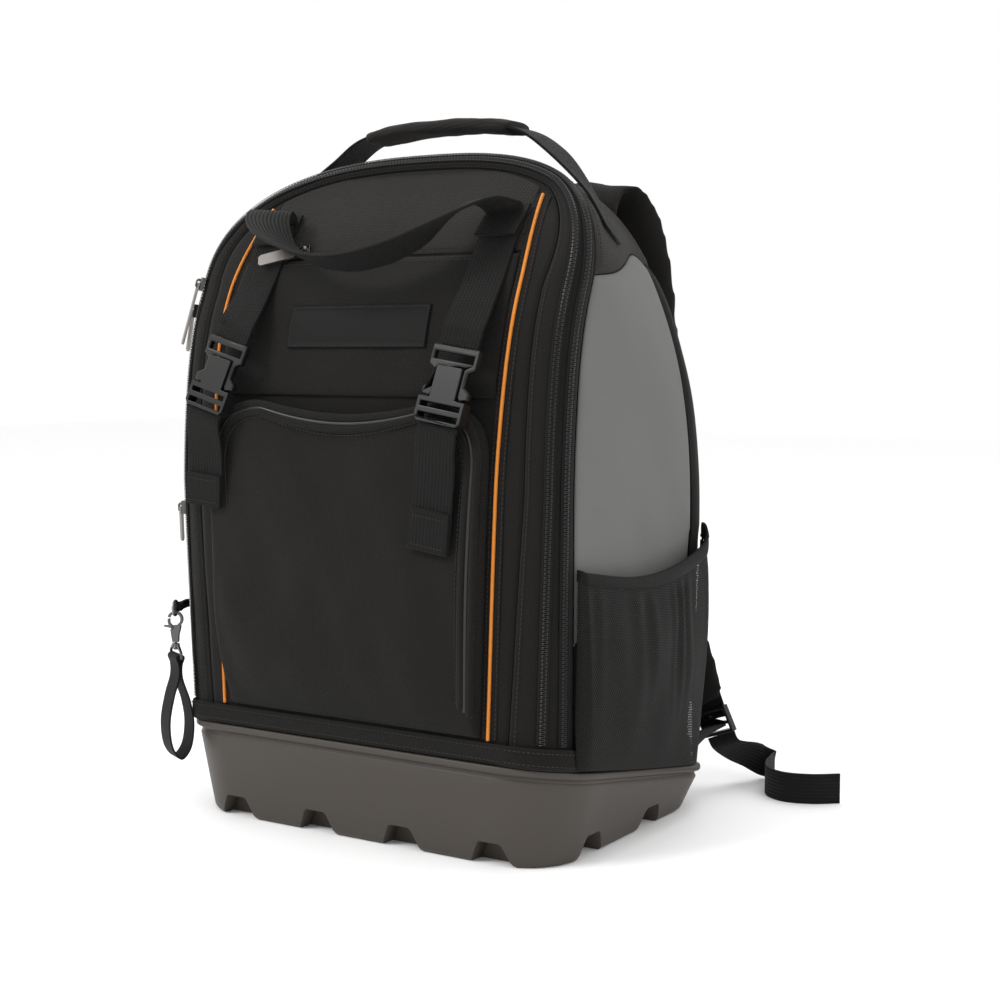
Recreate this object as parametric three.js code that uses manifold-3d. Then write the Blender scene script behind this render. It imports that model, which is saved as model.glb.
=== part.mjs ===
// A tool backpack that stands on a moulded boot: a hollow cloth body with an arched top, gray side
// panels, twin zips round the front edge, a front pocket, two buckled webbing straps with a carry
// loop, side pockets, a top grab handle, padded shoulder straps and a wrist loop on a snap hook.
// Millimetres, +Z up, the front faces -Y, origin on the floor under the middle of the boot.
import * as THREE from 'three';
import { mergeVertices } from 'three/addons/utils/BufferGeometryUtils.js';
import Module from 'manifold-3d';

const wasm = await Module();
wasm.setup();

// Driving dimensions
const seat = 0.3;                 // clearance between pieces that touch
const faceGap = 0.9;              // the same on curved cloth, clear of its flat facets

const body = {
  halfWidth: 183,                 // across the gray side panels, halved
  footTaper: 5,                   // how much narrower each side is at the foot
  taperTop: 275,                  // height where the sides reach full width
  top: 534,                       // crown of the arch
  front: -136,
  back: 120,
  wall: 2,                        // coated cloth with its foam lining
  frontShoulder: 428,             // height where the front arch starts to curve
  backShoulder: 230,
  frontArch: 2.6,                 // power of the arch's rounded form, front and back
  backArch: 2.25,
  frontLean: 106,                 // how far the front face leans back at the crown
  backLean: 12,
  frontCorner: 28,                // corner radius in plan
  footCorner: 42,
  crownCorner: 11,
  backCorner: 50,
  backCrown: 24,
};

const boot = {
  halfWidth: 173,                 // outline at the floor
  front: -128,
  back: 122,
  corner: 46,
  flare: 13,                      // how far each wall leans out up to the rim in front
  rimFront: 77,                   // rim height at the front
  rimBack: 34,                    // and at the back
  lip: 2,                         // rim bead stands proud
  groove: 5,                      // height of the bead above the groove
  grooveDepth: 1.6,
  wall: 4,
  ledge: 14,                      // inward ledge under the body's side walls
  endLedge: 9,                    // the same under the front and back
  floor: 4,
  lugHeight: 18,
  lugDepth: 15,
  notchTop: 20,
  notchFoot: 38,
  endPitch: 82,                   // notch spacing along the front and back
  sidePitch: 94,
  sideShift: -21,                 // the side notches sit a little to the front
};

const band = { rise: 16, backRise: 22, thickness: 2.6 };
const gusset = { end: 0.95 };     // where the zip gusset meets the side panel, as a share of the corner
const zip = { width: 8, thickness: 1.6, frontPlace: 0.44, rearPlace: 0.72, start: 0.012 };
const piping = { diameter: 4, foot: 127, middle: 133, shoulder: 138, crown: 130, top: 494, bottom: 98 };
const webbing = { width: 34, thickness: 2.2 };
const slimWebbing = { width: 25, thickness: 1.8 };

// Shapes of the front and back faces from the side: each row is a share of the crown's height and
// the share of the whole lean reached there.
const leanRows = [
  { rise: 0.14, lean: 0 },
  { rise: 0.515, lean: 0.01 },
  { rise: 0.65, lean: 0.055 },
  { rise: 0.736, lean: 0.13 },
  { rise: 0.802, lean: 0.25 },
  { rise: 0.871, lean: 0.45 },
  { rise: 0.946, lean: 0.75 },
  { rise: 1, lean: 1 },
];

const group = new THREE.Group();

const mix = (a, b, t) => a + (b - a) * t;
const clamp = (value, low, high) => Math.min(Math.max(value, low), high);
const vec = (x, y, z) => new THREE.Vector3(x, y, z);
const radians = THREE.MathUtils.degToRad;

// A smooth curve through a short table: cubic pieces whose slope at a row comes from its neighbours.
function tableValue(rows, from, to, value) {
  const at = clamp(value, rows[0][from], rows[rows.length - 1][from]);
  let i = 0;
  while (i < rows.length - 2 && at > rows[i + 1][from]) i += 1;
  const slope = (k) => {
    const a = rows[Math.max(k - 1, 0)];
    const b = rows[Math.min(k + 1, rows.length - 1)];
    return (b[to] - a[to]) / (b[from] - a[from]);
  };
  const span = rows[i + 1][from] - rows[i][from];
  const t = (at - rows[i][from]) / span;
  const rest = t - 1;
  return (1 + 2 * t) * rest * rest * rows[i][to] + t * t * (3 - 2 * t) * rows[i + 1][to]
    + span * (t * rest * rest * slope(i) + t * t * rest * slope(i + 1));
}

const frontY = (z) => body.front + body.frontLean * tableValue(leanRows, 'rise', 'lean', z / body.top);
const backY = (z) => body.back - body.backLean * tableValue(leanRows, 'rise', 'lean', z / body.top);

// The rim of the boot is a slanted plane, high in front and low behind.
const rimSlope = (boot.rimFront - boot.rimBack) / (boot.back - boot.front);
const rimZ = (y) => boot.rimFront - rimSlope * (y - boot.front);
const bodyFootGap = 0.8;
const footZ = (y) => rimZ(y) + bodyFootGap;

// Outline of the body at one station, seen from the front: a straight side up to the shoulder, then
// a rounded arch. rise runs from 0 at the foot to 1 at the crown, depth from 0 in front to 1 behind.
function archPoint(rise, depth, inset, foot) {
  const shoulder = mix(body.frontShoulder, body.backShoulder, depth);
  const power = mix(body.frontArch, body.backArch, depth);
  if (rise <= 0.5) {
    const z = mix(foot, shoulder, rise * 2);
    const taper = body.footTaper * Math.max(0, 1 - z / body.taperTop);
    return { x: body.halfWidth - taper - inset, z };
  }
  const turn = (rise - 0.5) * Math.PI;
  return {
    x: (body.halfWidth - inset) * Math.cos(turn) ** (2 / power),
    z: shoulder + (body.top - inset - shoulder) * Math.sin(turn) ** (2 / power),
  };
}

const cornerRadius = (rise, z) => (rise <= 0.5
  ? mix(body.footCorner, body.frontCorner, clamp(z / body.taperTop, 0, 1))
  : mix(body.frontCorner, body.crownCorner, Math.min((rise - 0.5) * 4, 1)));
const backRadius = (rise) => mix(body.backCorner, body.backCrown, clamp(rise, 0, 1));

// The body's outer surface. along is 0 to 2 from the right foot over the crown to the left foot.
// round is 0 to 1 over the front corner, 1 to 2 along the side and 2 to 3 over the back corner.
function skin(along, round) {
  const rise = along <= 1 ? along : 2 - along;
  const side = along <= 1 ? 1 : -1;
  const frontSeam = archPoint(rise, 0, cornerRadius(rise, body.top / 2), rimZ(body.front));
  const radius = cornerRadius(rise, frontSeam.z);
  const behind = backRadius(rise);
  const backSeam = archPoint(rise, 1, behind, rimZ(body.back));
  const near = frontY(frontSeam.z) + radius;
  const far = backY(backSeam.z) - behind;
  let y;
  let inset = 0;
  let depth = 0;
  if (round < 1) {
    const turn = round * Math.PI / 2;
    inset = radius * (1 - Math.sin(turn));
    y = near - radius * Math.cos(turn);
  } else if (round <= 2) {
    depth = round - 1;
    y = mix(near, far, depth);
  } else {
    const turn = (round - 2) * Math.PI / 2;
    depth = 1;
    inset = behind * (1 - Math.cos(turn));
    y = far + behind * Math.sin(turn);
  }
  const edge = archPoint(rise, depth, inset, footZ(y));
  return vec(side * edge.x, y, edge.z);
}

function skinNormal(along, round) {
  const step = 0.004;
  const up = skin(Math.min(along + step, 2), round).sub(skin(Math.max(along - step, 0), round));
  const back = skin(along, Math.min(round + step, 3)).sub(skin(along, Math.max(round - step, 0)));
  return back.cross(up).normalize();
}

const skinAt = (along, round, out) => skin(along, round).addScaledVector(skinNormal(along, round), out);

// The same surface found by height, for what sits on the straight lower part of a side.
function sideAt(side, z, round, out) {
  let rise = 0.2;
  for (let i = 0; i < 6; i += 1) {
    const low = skin(rise, round).z;
    const high = skin(rise + 0.02, round).z;
    rise = clamp(rise + 0.02 * (z - low) / (high - low), 0, 0.56);
  }
  return skinAt(side > 0 ? rise : 2 - rise, round, out);
}

// A point on the front face, at a distance out from the cloth.
function faceAt(x, z, out) {
  const slope = (frontY(z + 0.5) - frontY(z - 0.5));
  const normal = vec(0, -1, slope).normalize();
  return vec(x, frontY(z), z).addScaledVector(normal, out);
}

function backAt(x, z, out) {
  return vec(x, backY(z) + out, z);
}

function signedVolume(points, faces) {
  let volume = 0;
  for (let i = 0; i < faces.length; i += 3) {
    const [a, b, c] = [points[faces[i]], points[faces[i + 1]], points[faces[i + 2]]];
    volume += a.dot(b.clone().cross(c)) / 6;
  }
  return volume;
}

function solidFrom(points, faces) {
  if (signedVolume(points, faces) < 0) {
    for (let i = 0; i < faces.length; i += 3) [faces[i + 1], faces[i + 2]] = [faces[i + 2], faces[i + 1]];
  }
  const geometry = new THREE.BufferGeometry();
  geometry.setAttribute('position', new THREE.Float32BufferAttribute(points.flatMap((p) => p.toArray()), 3));
  geometry.setIndex(faces);
  return geometry;
}

// A sheet with thickness: two grids of points, one for each face of the cloth, joined round the edge.
function sheet(outer, inner, across, up) {
  const points = [];
  for (const surface of [outer, inner]) {
    for (let j = 0; j <= up; j += 1) {
      for (let i = 0; i <= across; i += 1) points.push(surface(i / across, j / up));
    }
  }
  const row = across + 1;
  const layer = row * (up + 1);
  const faces = [];
  const quad = (a, b, c, d) => faces.push(a, b, c, a, c, d);
  for (let j = 0; j < up; j += 1) {
    for (let i = 0; i < across; i += 1) {
      const a = j * row + i;
      quad(a, a + 1, a + row + 1, a + row);
      quad(layer + a, layer + a + row, layer + a + row + 1, layer + a + 1);
    }
  }
  for (let i = 0; i < across; i += 1) {
    const last = up * row + i;
    quad(i, layer + i, layer + i + 1, i + 1);
    quad(last, last + 1, layer + last + 1, layer + last);
  }
  for (let j = 0; j < up; j += 1) {
    const a = j * row;
    const b = a + across;
    quad(a, a + row, layer + a + row, layer + a);
    quad(b, layer + b, layer + b + row, b + row);
  }
  return solidFrom(points, faces);
}

// A solid through rings of points, each end closed by a fan round its middle.
function loft(rings) {
  const count = rings[0].length;
  const points = rings.flat();
  const faces = [];
  for (let k = 0; k + 1 < rings.length; k += 1) {
    for (let i = 0; i < count; i += 1) {
      const a = k * count + i;
      const b = k * count + (i + 1) % count;
      faces.push(a, b, b + count, a, b + count, a + count);
    }
  }
  for (const [k, flip] of [[0, true], [rings.length - 1, false]]) {
    const middle = points.length;
    const sum = rings[k].reduce((total, p) => total.add(p), vec(0, 0, 0));
    points.push(sum.divideScalar(count));
    for (let i = 0; i < count; i += 1) {
      const a = k * count + i;
      const b = k * count + (i + 1) % count;
      if (flip) faces.push(middle, b, a);
      else faces.push(middle, a, b);
    }
  }
  return solidFrom(points, faces);
}

// A hollow solid that closes on itself, such as a band or a sleeve, through rings in a loop.
function closedLoft(rings) {
  const count = rings[0].length;
  const faces = [];
  for (let k = 0; k < rings.length; k += 1) {
    const next = ((k + 1) % rings.length) * count;
    for (let i = 0; i < count; i += 1) {
      const a = k * count + i;
      const b = k * count + (i + 1) % count;
      const c = next + (i + 1) % count;
      const d = next + i;
      faces.push(a, b, c, a, c, d);
    }
  }
  return solidFrom(rings.flat(), faces);
}

// Frames along a smooth curve through hand-placed points; across gives the width's direction.
function framesAlong(points, across, steps) {
  const curve = new THREE.CatmullRomCurve3(points, false, 'centripetal');
  const sides = new THREE.CatmullRomCurve3(across, false, 'centripetal');
  const frames = [];
  for (let i = 0; i <= steps; i += 1) {
    const t = i / steps;
    const tangent = curve.getTangent(t);
    const wide = sides.getPoint(t);
    wide.addScaledVector(tangent, -wide.dot(tangent)).normalize();
    frames.push({ at: curve.getPoint(t), wide, thick: tangent.clone().cross(wide) });
  }
  return frames;
}

// Flat webbing along a curve.
function ribbon(points, across, width, thickness, steps) {
  const corners = [[1, 1], [-1, 1], [-1, -1], [1, -1]];
  const rings = framesAlong(points, across, steps).map(({ at, wide, thick }) => corners
    .map(([a, b]) => at.clone().addScaledVector(wide, a * width / 2)
      .addScaledVector(thick, b * thickness / 2)));
  return loft(rings);
}

// A padded strap: its section is a rounded bar, and widthAt gives the width along it.
function paddedStrap(points, across, widthAt, thickness, steps) {
  const corners = [[-1, -0.35], [-0.86, -1], [0.86, -1], [1, -0.35], [1, 0.35], [0.86, 1], [-0.86, 1], [-1, 0.35]];
  const rings = framesAlong(points, across, steps).map(({ at, wide, thick }, k) => corners
    .map(([a, b]) => at.clone().addScaledVector(wide, a * widthAt(k / steps) / 2)
      .addScaledVector(thick, b * thickness / 2)));
  return loft(rings);
}

// Round stock along a curve.
function rod(points, radius, steps, sides = 8, closed = false) {
  const section = new THREE.Shape();
  for (let i = 0; i < sides; i += 1) {
    const turn = i / sides * 2 * Math.PI;
    if (i === 0) section.moveTo(radius, 0);
    else section.lineTo(radius * Math.cos(turn), radius * Math.sin(turn));
  }
  const curve = new THREE.CatmullRomCurve3(points, closed, 'centripetal');
  return new THREE.ExtrudeGeometry(section, { steps, extrudePath: curve, bevelEnabled: false });
}

function toManifold(geometry) {
  const bare = geometry.clone();
  for (const name of Object.keys(bare.attributes)) {
    if (name !== 'position') bare.deleteAttribute(name);
  }
  const merged = mergeVertices(bare, 1e-5);
  return new wasm.Manifold(new wasm.Mesh({
    numProp: 3,
    vertProperties: new Float32Array(merged.attributes.position.array),
    triVerts: new Uint32Array(merged.index.array),
  }));
}

function fromManifold(solid) {
  const mesh = solid.getMesh();
  const geometry = new THREE.BufferGeometry();
  geometry.setAttribute('position', new THREE.Float32BufferAttribute(mesh.vertProperties, 3));
  geometry.setIndex(Array.from(mesh.triVerts));
  return geometry;
}

const cutFrom = (geometry, tools) => fromManifold(tools
  .reduce((solid, tool) => solid.subtract(toManifold(tool)), toManifold(geometry)));
const joined = (first, ...others) => fromManifold(others
  .reduce((solid, other) => solid.add(toManifold(other)), toManifold(first)));

function add(name, geometry, material, parent = group) {
  const mesh = new THREE.Mesh(geometry, material);
  mesh.name = name;
  parent.add(mesh);
  return mesh;
}

// Puts a group at a point with its own X and Z directions.
function placed(at, xAxis, zAxis) {
  const holder = new THREE.Group();
  const z = zAxis.clone().normalize();
  const x = xAxis.clone().addScaledVector(z, -xAxis.dot(z)).normalize();
  const basis = new THREE.Matrix4().makeBasis(x, z.clone().cross(x), z);
  holder.quaternion.setFromRotationMatrix(basis);
  holder.position.copy(at);
  group.add(holder);
  return holder;
}

function box(width, depth, height, x = 0, y = 0, z = 0) {
  return new THREE.BoxGeometry(width, depth, height).translate(x, y, z);
}

function finish(color, roughness, metalness = 0) {
  return new THREE.MeshStandardMaterial({ color, roughness, metalness });
}

const rubber = finish(0x4a443f, 0.62);
const cloth = finish(0x232120, 0.9);
const topCloth = finish(0x35322f, 0.88);
const grayCloth = finish(0x787a76, 0.92);
const netCloth = finish(0x1d1c1b, 0.85);
const webCloth = finish(0x1c1a19, 0.8);
const orangeCord = finish(0xe08a32, 0.6);
const plastic = finish(0x151514, 0.4);
const metal = finish(0x969089, 0.35, 1);
const darkMetal = finish(0x4b4a49, 0.3, 1);
const patchRubber = finish(0x141413, 0.7);

// Moulded boot
// Rounded outline in plan, grown outwards from the floor outline, and laid at a height.
function bootRing(grow, endGrow, height) {
  const halfWidth = boot.halfWidth + grow;
  const front = boot.front - endGrow;
  const back = boot.back + endGrow;
  const radius = boot.corner + grow;
  const turns = 6;
  const ring = [];
  const corners = [[1, -1, -90], [1, 1, 0], [-1, 1, 90], [-1, -1, 180]];
  for (const [sideX, sideY, start] of corners) {
    const middleX = sideX * (halfWidth - radius);
    const middleY = sideY < 0 ? front + radius : back - radius;
    for (let k = 0; k <= turns; k += 1) {
      const turn = radians(start + k * 90 / turns);
      const x = middleX + radius * Math.cos(turn);
      const y = middleY + radius * Math.sin(turn);
      ring.push(vec(x, y, height(y)));
    }
  }
  return ring;
}

const draft = boot.flare / boot.rimFront;
const level = (z) => () => z;
const belowRim = (drop) => (y) => rimZ(y) - drop;
const chamfer = 3;
const bead = boot.groove;
const rimGrow = boot.flare;
const bootOuter = loft([
  bootRing(-chamfer, -chamfer, level(0)),
  bootRing(chamfer * draft, chamfer * draft, level(chamfer)),
  bootRing(rimGrow - 2 * bead * draft, rimGrow - 2 * bead * draft, belowRim(2 * bead)),
  bootRing(rimGrow - boot.grooveDepth - 1.5 * bead * draft, rimGrow - boot.grooveDepth - 1.5 * bead * draft,
    belowRim(1.5 * bead)),
  bootRing(rimGrow + boot.lip, rimGrow + boot.lip, belowRim(bead)),
  bootRing(rimGrow + boot.lip, rimGrow + boot.lip, belowRim(0)),
]);
const lugInner = boot.lugDepth + boot.wall;
const innerStep = boot.lugHeight + boot.wall;
const wallGrow = rimGrow - boot.wall - 2 * bead * draft;
const bootInner = loft([
  bootRing(-lugInner, -lugInner, level(boot.floor)),
  bootRing(-lugInner, -lugInner, level(innerStep)),
  bootRing(innerStep * draft - boot.wall, innerStep * draft - boot.wall, level(innerStep + 0.5)),
  bootRing(wallGrow, wallGrow, belowRim(2 * bead)),
  bootRing(rimGrow - boot.ledge, rimGrow - boot.endLedge, belowRim(1.5 * bead)),
  bootRing(rimGrow - boot.ledge, rimGrow - boot.endLedge, belowRim(-bead)),
]);

// A notch between two lugs: a prism wider at the floor, cut inwards from the outline.
function notch(at, turn) {
  const outline = new THREE.Shape();
  outline.moveTo(-boot.notchFoot / 2, -1);
  outline.lineTo(boot.notchFoot / 2, -1);
  outline.lineTo(boot.notchTop / 2, boot.lugHeight);
  outline.lineTo(-boot.notchTop / 2, boot.lugHeight);
  outline.closePath();
  const reach = boot.lugDepth * 3;
  const prism = new THREE.ExtrudeGeometry(outline, { depth: reach, bevelEnabled: false });
  prism.rotateX(Math.PI / 2).translate(0, boot.lugDepth, 0).rotateZ(turn);
  return prism.translate(at.x, at.y, 0);
}
const notches = [];
for (const k of [-1.5, -0.5, 0.5, 1.5]) {
  notches.push(notch(vec(k * boot.endPitch, boot.front, 0), 0));
  notches.push(notch(vec(k * boot.endPitch, boot.back, 0), Math.PI));
}
for (const k of [-0.5, 0.5]) {
  const y = boot.sideShift + k * boot.sidePitch;
  notches.push(notch(vec(boot.halfWidth, y, 0), Math.PI / 2));
  notches.push(notch(vec(-boot.halfWidth, y, 0), -Math.PI / 2));
}
add('moulded_base', cutFrom(bootOuter, [bootInner, ...notches]), rubber);

// Body cloth
// A panel of the body between two lines across and two lines along the surface.
function panel(place, across, up) {
  const outer = (u, v) => skinAt(...place(u, v), 0);
  const inner = (u, v) => skinAt(...place(u, v), -body.wall);
  return sheet(outer, inner, across, up);
}

const seamStep = 0.008;           // gap between panels as a share of the corner or side
const sideStart = gusset.end + 0.03;
const rearEdge = 2.975;           // where the side cloth stops short of the back panel
const seamAllowance = 2.6;        // bevel of a face's inner edge, clear of the turned gusset
// Rows of the arch from foot to crown, closer together where it curves.
const archRows = [0, 0.14, 0.26, 0.34, 0.39, 0.445, 0.5, 0.545, 0.59, 0.64, 0.7, 0.77, 0.85, 0.93, 1];
const archSteps = 2 * (archRows.length - 1);
const rowAt = (u) => {
  const at = u * (archRows.length - 1);
  const i = Math.min(Math.floor(at), archRows.length - 2);
  return mix(archRows[i], archRows[i + 1], at - i);
};
const overArch = (v) => (v <= 0.5 ? rowAt(v * 2) : 2 - rowAt(2 - v * 2));

// The front face: level strips from seam to seam, up to the crown.
function endFace(round, faceY, thickness) {
  const rows = archRows.slice(0, -1);
  const edge = (row) => skin(row, round);
  const crown = skin(1, round);
  const points = [];
  for (const [out, margin] of [[0, seat], [thickness, seat + seamAllowance]]) {
    for (const row of rows) {
      const p = edge(row);
      for (const side of [-1, 1]) points.push(vec(side * (p.x - margin), faceY(p.z) + out, p.z));
    }
    points.push(vec(0, faceY(crown.z) + out, crown.z - margin));
  }
  const count = rows.length * 2 + 1;
  const faces = [];
  for (let k = 0; k + 1 < rows.length; k += 1) {
    const a = 2 * k;
    faces.push(a, a + 1, a + 3, a, a + 3, a + 2);
    faces.push(count + a, count + a + 3, count + a + 1, count + a, count + a + 2, count + a + 3);
    faces.push(a, a + 2, count + a + 2, a, count + a + 2, count + a);
    faces.push(a + 1, count + a + 1, count + a + 3, a + 1, count + a + 3, a + 3);
  }
  const last = 2 * (rows.length - 1);
  const tip = count - 1;
  faces.push(last, last + 1, tip, count + last, count + tip, count + last + 1);
  faces.push(last, tip, count + tip, last, count + tip, count + last);
  faces.push(last + 1, count + last + 1, count + tip, last + 1, count + tip, tip);
  faces.push(0, count, count + 1, 0, count + 1, 1);
  return solidFrom(points, faces);
}
add('front_panel', endFace(0, frontY, body.wall), cloth);
add('back_panel', endFace(3, backY, -body.wall), cloth);

add('zip_gusset', panel((u, v) => [overArch(v), mix(seamStep, gusset.end, u)], 5, archSteps), cloth);

// The gray panel's upper edge rises from front to back; its rear edge stands nearly upright.
const gray = { frontTop: 0.489, rearTop: 0.745, footRear: 1.97, topRear: 1.99 };
const grayTop = (round) => mix(gray.frontTop, gray.rearTop,
  Math.sin(clamp((round - gusset.end) / (gray.topRear - gusset.end), 0, 1) * Math.PI / 2));
const grayRear = (rise) => mix(gray.footRear, gray.topRear, clamp(rise / gray.rearTop, 0, 1) ** 1.4);

for (const [name, side] of [['right', 1], ['left', -1]]) {
  const mirrored = (rise) => (side > 0 ? rise : 2 - rise);
  add(`side_panel_${name}`, panel((u, v) => {
    const rise = v * grayTop(mix(gusset.end, gray.topRear, u));
    const round = mix(sideStart, grayRear(rise), u);
    return [mirrored(rise), round];
  }, 6, 7), grayCloth);
  add(`rear_side_panel_${name}`, panel((u, v) => {
    const rise = v * gray.rearTop;
    return [mirrored(rise), mix(grayRear(rise) + seamStep * 2, rearEdge, u)];
  }, 7, 14), cloth);
}
const riseStep = 0.006;
add('top_panel', panel((u, v) => {
  const round = mix(sideStart, rearEdge, u);
  const start = grayTop(Math.min(round, gray.topRear)) + riseStep;
  return [mix(start, 2 - start, v), round];
}, 10, 16), topCloth);

// Stitched band round the foot of the body, standing on the boot's rim.
const bandGap = 1.2;
const bandRise = (y) => mix(band.rise, band.backRise, (y - boot.front) / (boot.back - boot.front));
function bandRing(out, height) {
  const ring = [];
  const steps = 8;
  for (const [side, forwards] of [[1, true], [-1, false]]) {
    for (let i = 0; i <= steps * 3; i += 1) {
      const round = (forwards ? i : steps * 3 - i) / steps;
      const straight = round > 1 && round < 2 && i % 2;
      if (!straight) {
        const p = skinAt(side > 0 ? 0.01 : 1.99, round, out);
        ring.push(vec(p.x, p.y, height(p.y)));
      }
    }
  }
  return ring;
}
const bandFoot = (y) => rimZ(y) + seat;
const bandTop = (y) => rimZ(y) + bandRise(y);
add('stitched_band', closedLoft([
  bandRing(bandGap + 0.8, bandFoot),
  bandRing(bandGap + 0.8 + band.thickness, bandFoot),
  bandRing(bandGap + band.thickness, bandTop),
  bandRing(bandGap, bandTop),
]), cloth);

// Zips round the front corner, each a raised strip of teeth and tape.
function zipStrip(place) {
  const half = (rise) => zip.width / (Math.PI * cornerRadius(rise, skin(rise, 0).z));
  const at = (u, v) => {
    const along = overArch(mix(zip.start, 1 - zip.start, v));
    const rise = along <= 1 ? along : 2 - along;
    return [along, place + mix(-1, 1, u) * Math.min(half(rise), 0.12)];
  };
  return sheet((u, v) => skinAt(...at(u, v), faceGap + zip.thickness),
    (u, v) => skinAt(...at(u, v), faceGap), 2, archSteps);
}
add('main_zip_front', zipStrip(zip.frontPlace), webCloth);
add('main_zip_rear', zipStrip(zip.rearPlace), webCloth);

// Orange piping down both edges of the front face.
const pipingX = (z) => tableValue([
  { z: piping.bottom, x: piping.foot },
  { z: body.taperTop, x: piping.middle },
  { z: body.frontShoulder, x: piping.shoulder },
  { z: piping.top, x: piping.crown },
], 'z', 'x', z);
for (const [name, side] of [['right', 1], ['left', -1]]) {
  const points = [];
  for (let k = 0; k <= 12; k += 1) {
    const z = mix(piping.bottom, piping.top, k / 12);
    points.push(faceAt(side * pipingX(z), z, piping.diameter / 2 + 0.5));
  }
  add(`piping_${name}`, rod(points, piping.diameter / 2, 24, 6), orangeCord);
}

// Front pocket: a cloth cap with a deep edge, hollow behind.
const pocket = { foot: 104, top: 341, sag: 9, depth: 13, cloth: 1.6, edge: 7, gapToPiping: 7, corner: 46 };
const pocketMiddle = (pocket.foot + pocket.top) / 2;
function pocketOutline() {
  const half = (z) => pipingX(z) - pocket.gapToPiping;
  const shape = new THREE.Shape();
  const shoulder = pocket.top - pocket.corner;
  shape.moveTo(-half(pocket.foot), pocket.foot);
  shape.lineTo(half(pocket.foot), pocket.foot);
  shape.lineTo(half(pocketMiddle), pocketMiddle);
  shape.lineTo(half(shoulder), shoulder);
  shape.quadraticCurveTo(half(pocket.top), pocket.top, half(pocket.top) - pocket.corner, pocket.top);
  shape.quadraticCurveTo(0, pocket.top - 2 * pocket.sag, pocket.corner - half(pocket.top), pocket.top);
  shape.quadraticCurveTo(-half(pocket.top), pocket.top, -half(shoulder), shoulder);
  shape.lineTo(-half(pocketMiddle), pocketMiddle);
  shape.closePath();
  return shape.getPoints(5).slice(0, -1);
}
const pocketEdge = pocketOutline();
// The outline drawn in by a distance towards the pocket's middle, at a distance out from the face.
function pocketRing(inset, out) {
  return pocketEdge.map((p) => {
    const arm = vec(p.x, p.y - pocketMiddle, 0);
    const shrink = Math.max(arm.length() - inset, 0) / arm.length();
    return faceAt(arm.x * shrink, pocketMiddle + arm.y * shrink, out);
  });
}
const inside = pocket.cloth;
add('front_pocket', (() => {
  const full = pocket.depth;
  const rings = [
    pocketRing(80, full - inside),
    pocketRing(pocket.edge + inside, full - inside),
    pocketRing(pocket.edge / 3 + inside, full * 0.7 - inside),
    pocketRing(inside, faceGap),
    pocketRing(0, faceGap),
    pocketRing(pocket.edge / 3, full * 0.7),
    pocketRing(pocket.edge, full),
    pocketRing(80, full),
  ];
  return loft(rings);
})(), cloth);

// Upper pocket between the pipings, open along its top edge, with a bare rubber patch on it.
const flap = { foot: 346, top: 450, thickness: 2 };
const patch = { width: 132, height: 31, thickness: 1.6 };
const patchFoot = flap.foot + 36;
const overFace = faceGap + flap.thickness;
function faceSheet(leftX, rightX, foot, top, low, high, up) {
  const at = (u, v, out) => {
    const z = mix(foot, top, v);
    return faceAt(mix(leftX(z), rightX(z), u), z, out);
  };
  return sheet((u, v) => at(u, v, high), (u, v) => at(u, v, low), 1, up);
}
const flapHalf = (z) => pipingX(z) - pocket.gapToPiping;
add('upper_pocket', faceSheet((z) => -flapHalf(z), flapHalf, flap.foot, flap.top, faceGap, overFace, 8), cloth);
add('name_patch', faceSheet(() => -patch.width / 2, () => patch.width / 2, patchFoot, patchFoot + patch.height,
  overFace + seat, overFace + seat + patch.thickness, 4), patchRubber);

// Zip of the front pocket, a raised strip over its top edge and down its right side.
const pocketZip = { inset: 8, width: 9, thickness: 1.4 };
const zipFrom = 6;                // outline points, counted round the edge from the left foot
function pocketStrip(first, last) {
  const at = (u, v, out) => {
    const place = mix(first, last, v);
    const i = Math.min(Math.floor(place), last - 1);
    const inset = pocketZip.inset + u * pocketZip.width;
    const a = pocketRing(inset, out)[i % pocketEdge.length];
    const b = pocketRing(inset, out)[(i + 1) % pocketEdge.length];
    return a.clone().lerp(b, place - i);
  };
  const low = pocket.depth + seat;
  return sheet((u, v) => at(u, v, low + pocketZip.thickness), (u, v) => at(u, v, low), 1, last - first);
}
add('front_pocket_zip', pocketStrip(2, 2 + zipFrom * 3), webCloth);

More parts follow.
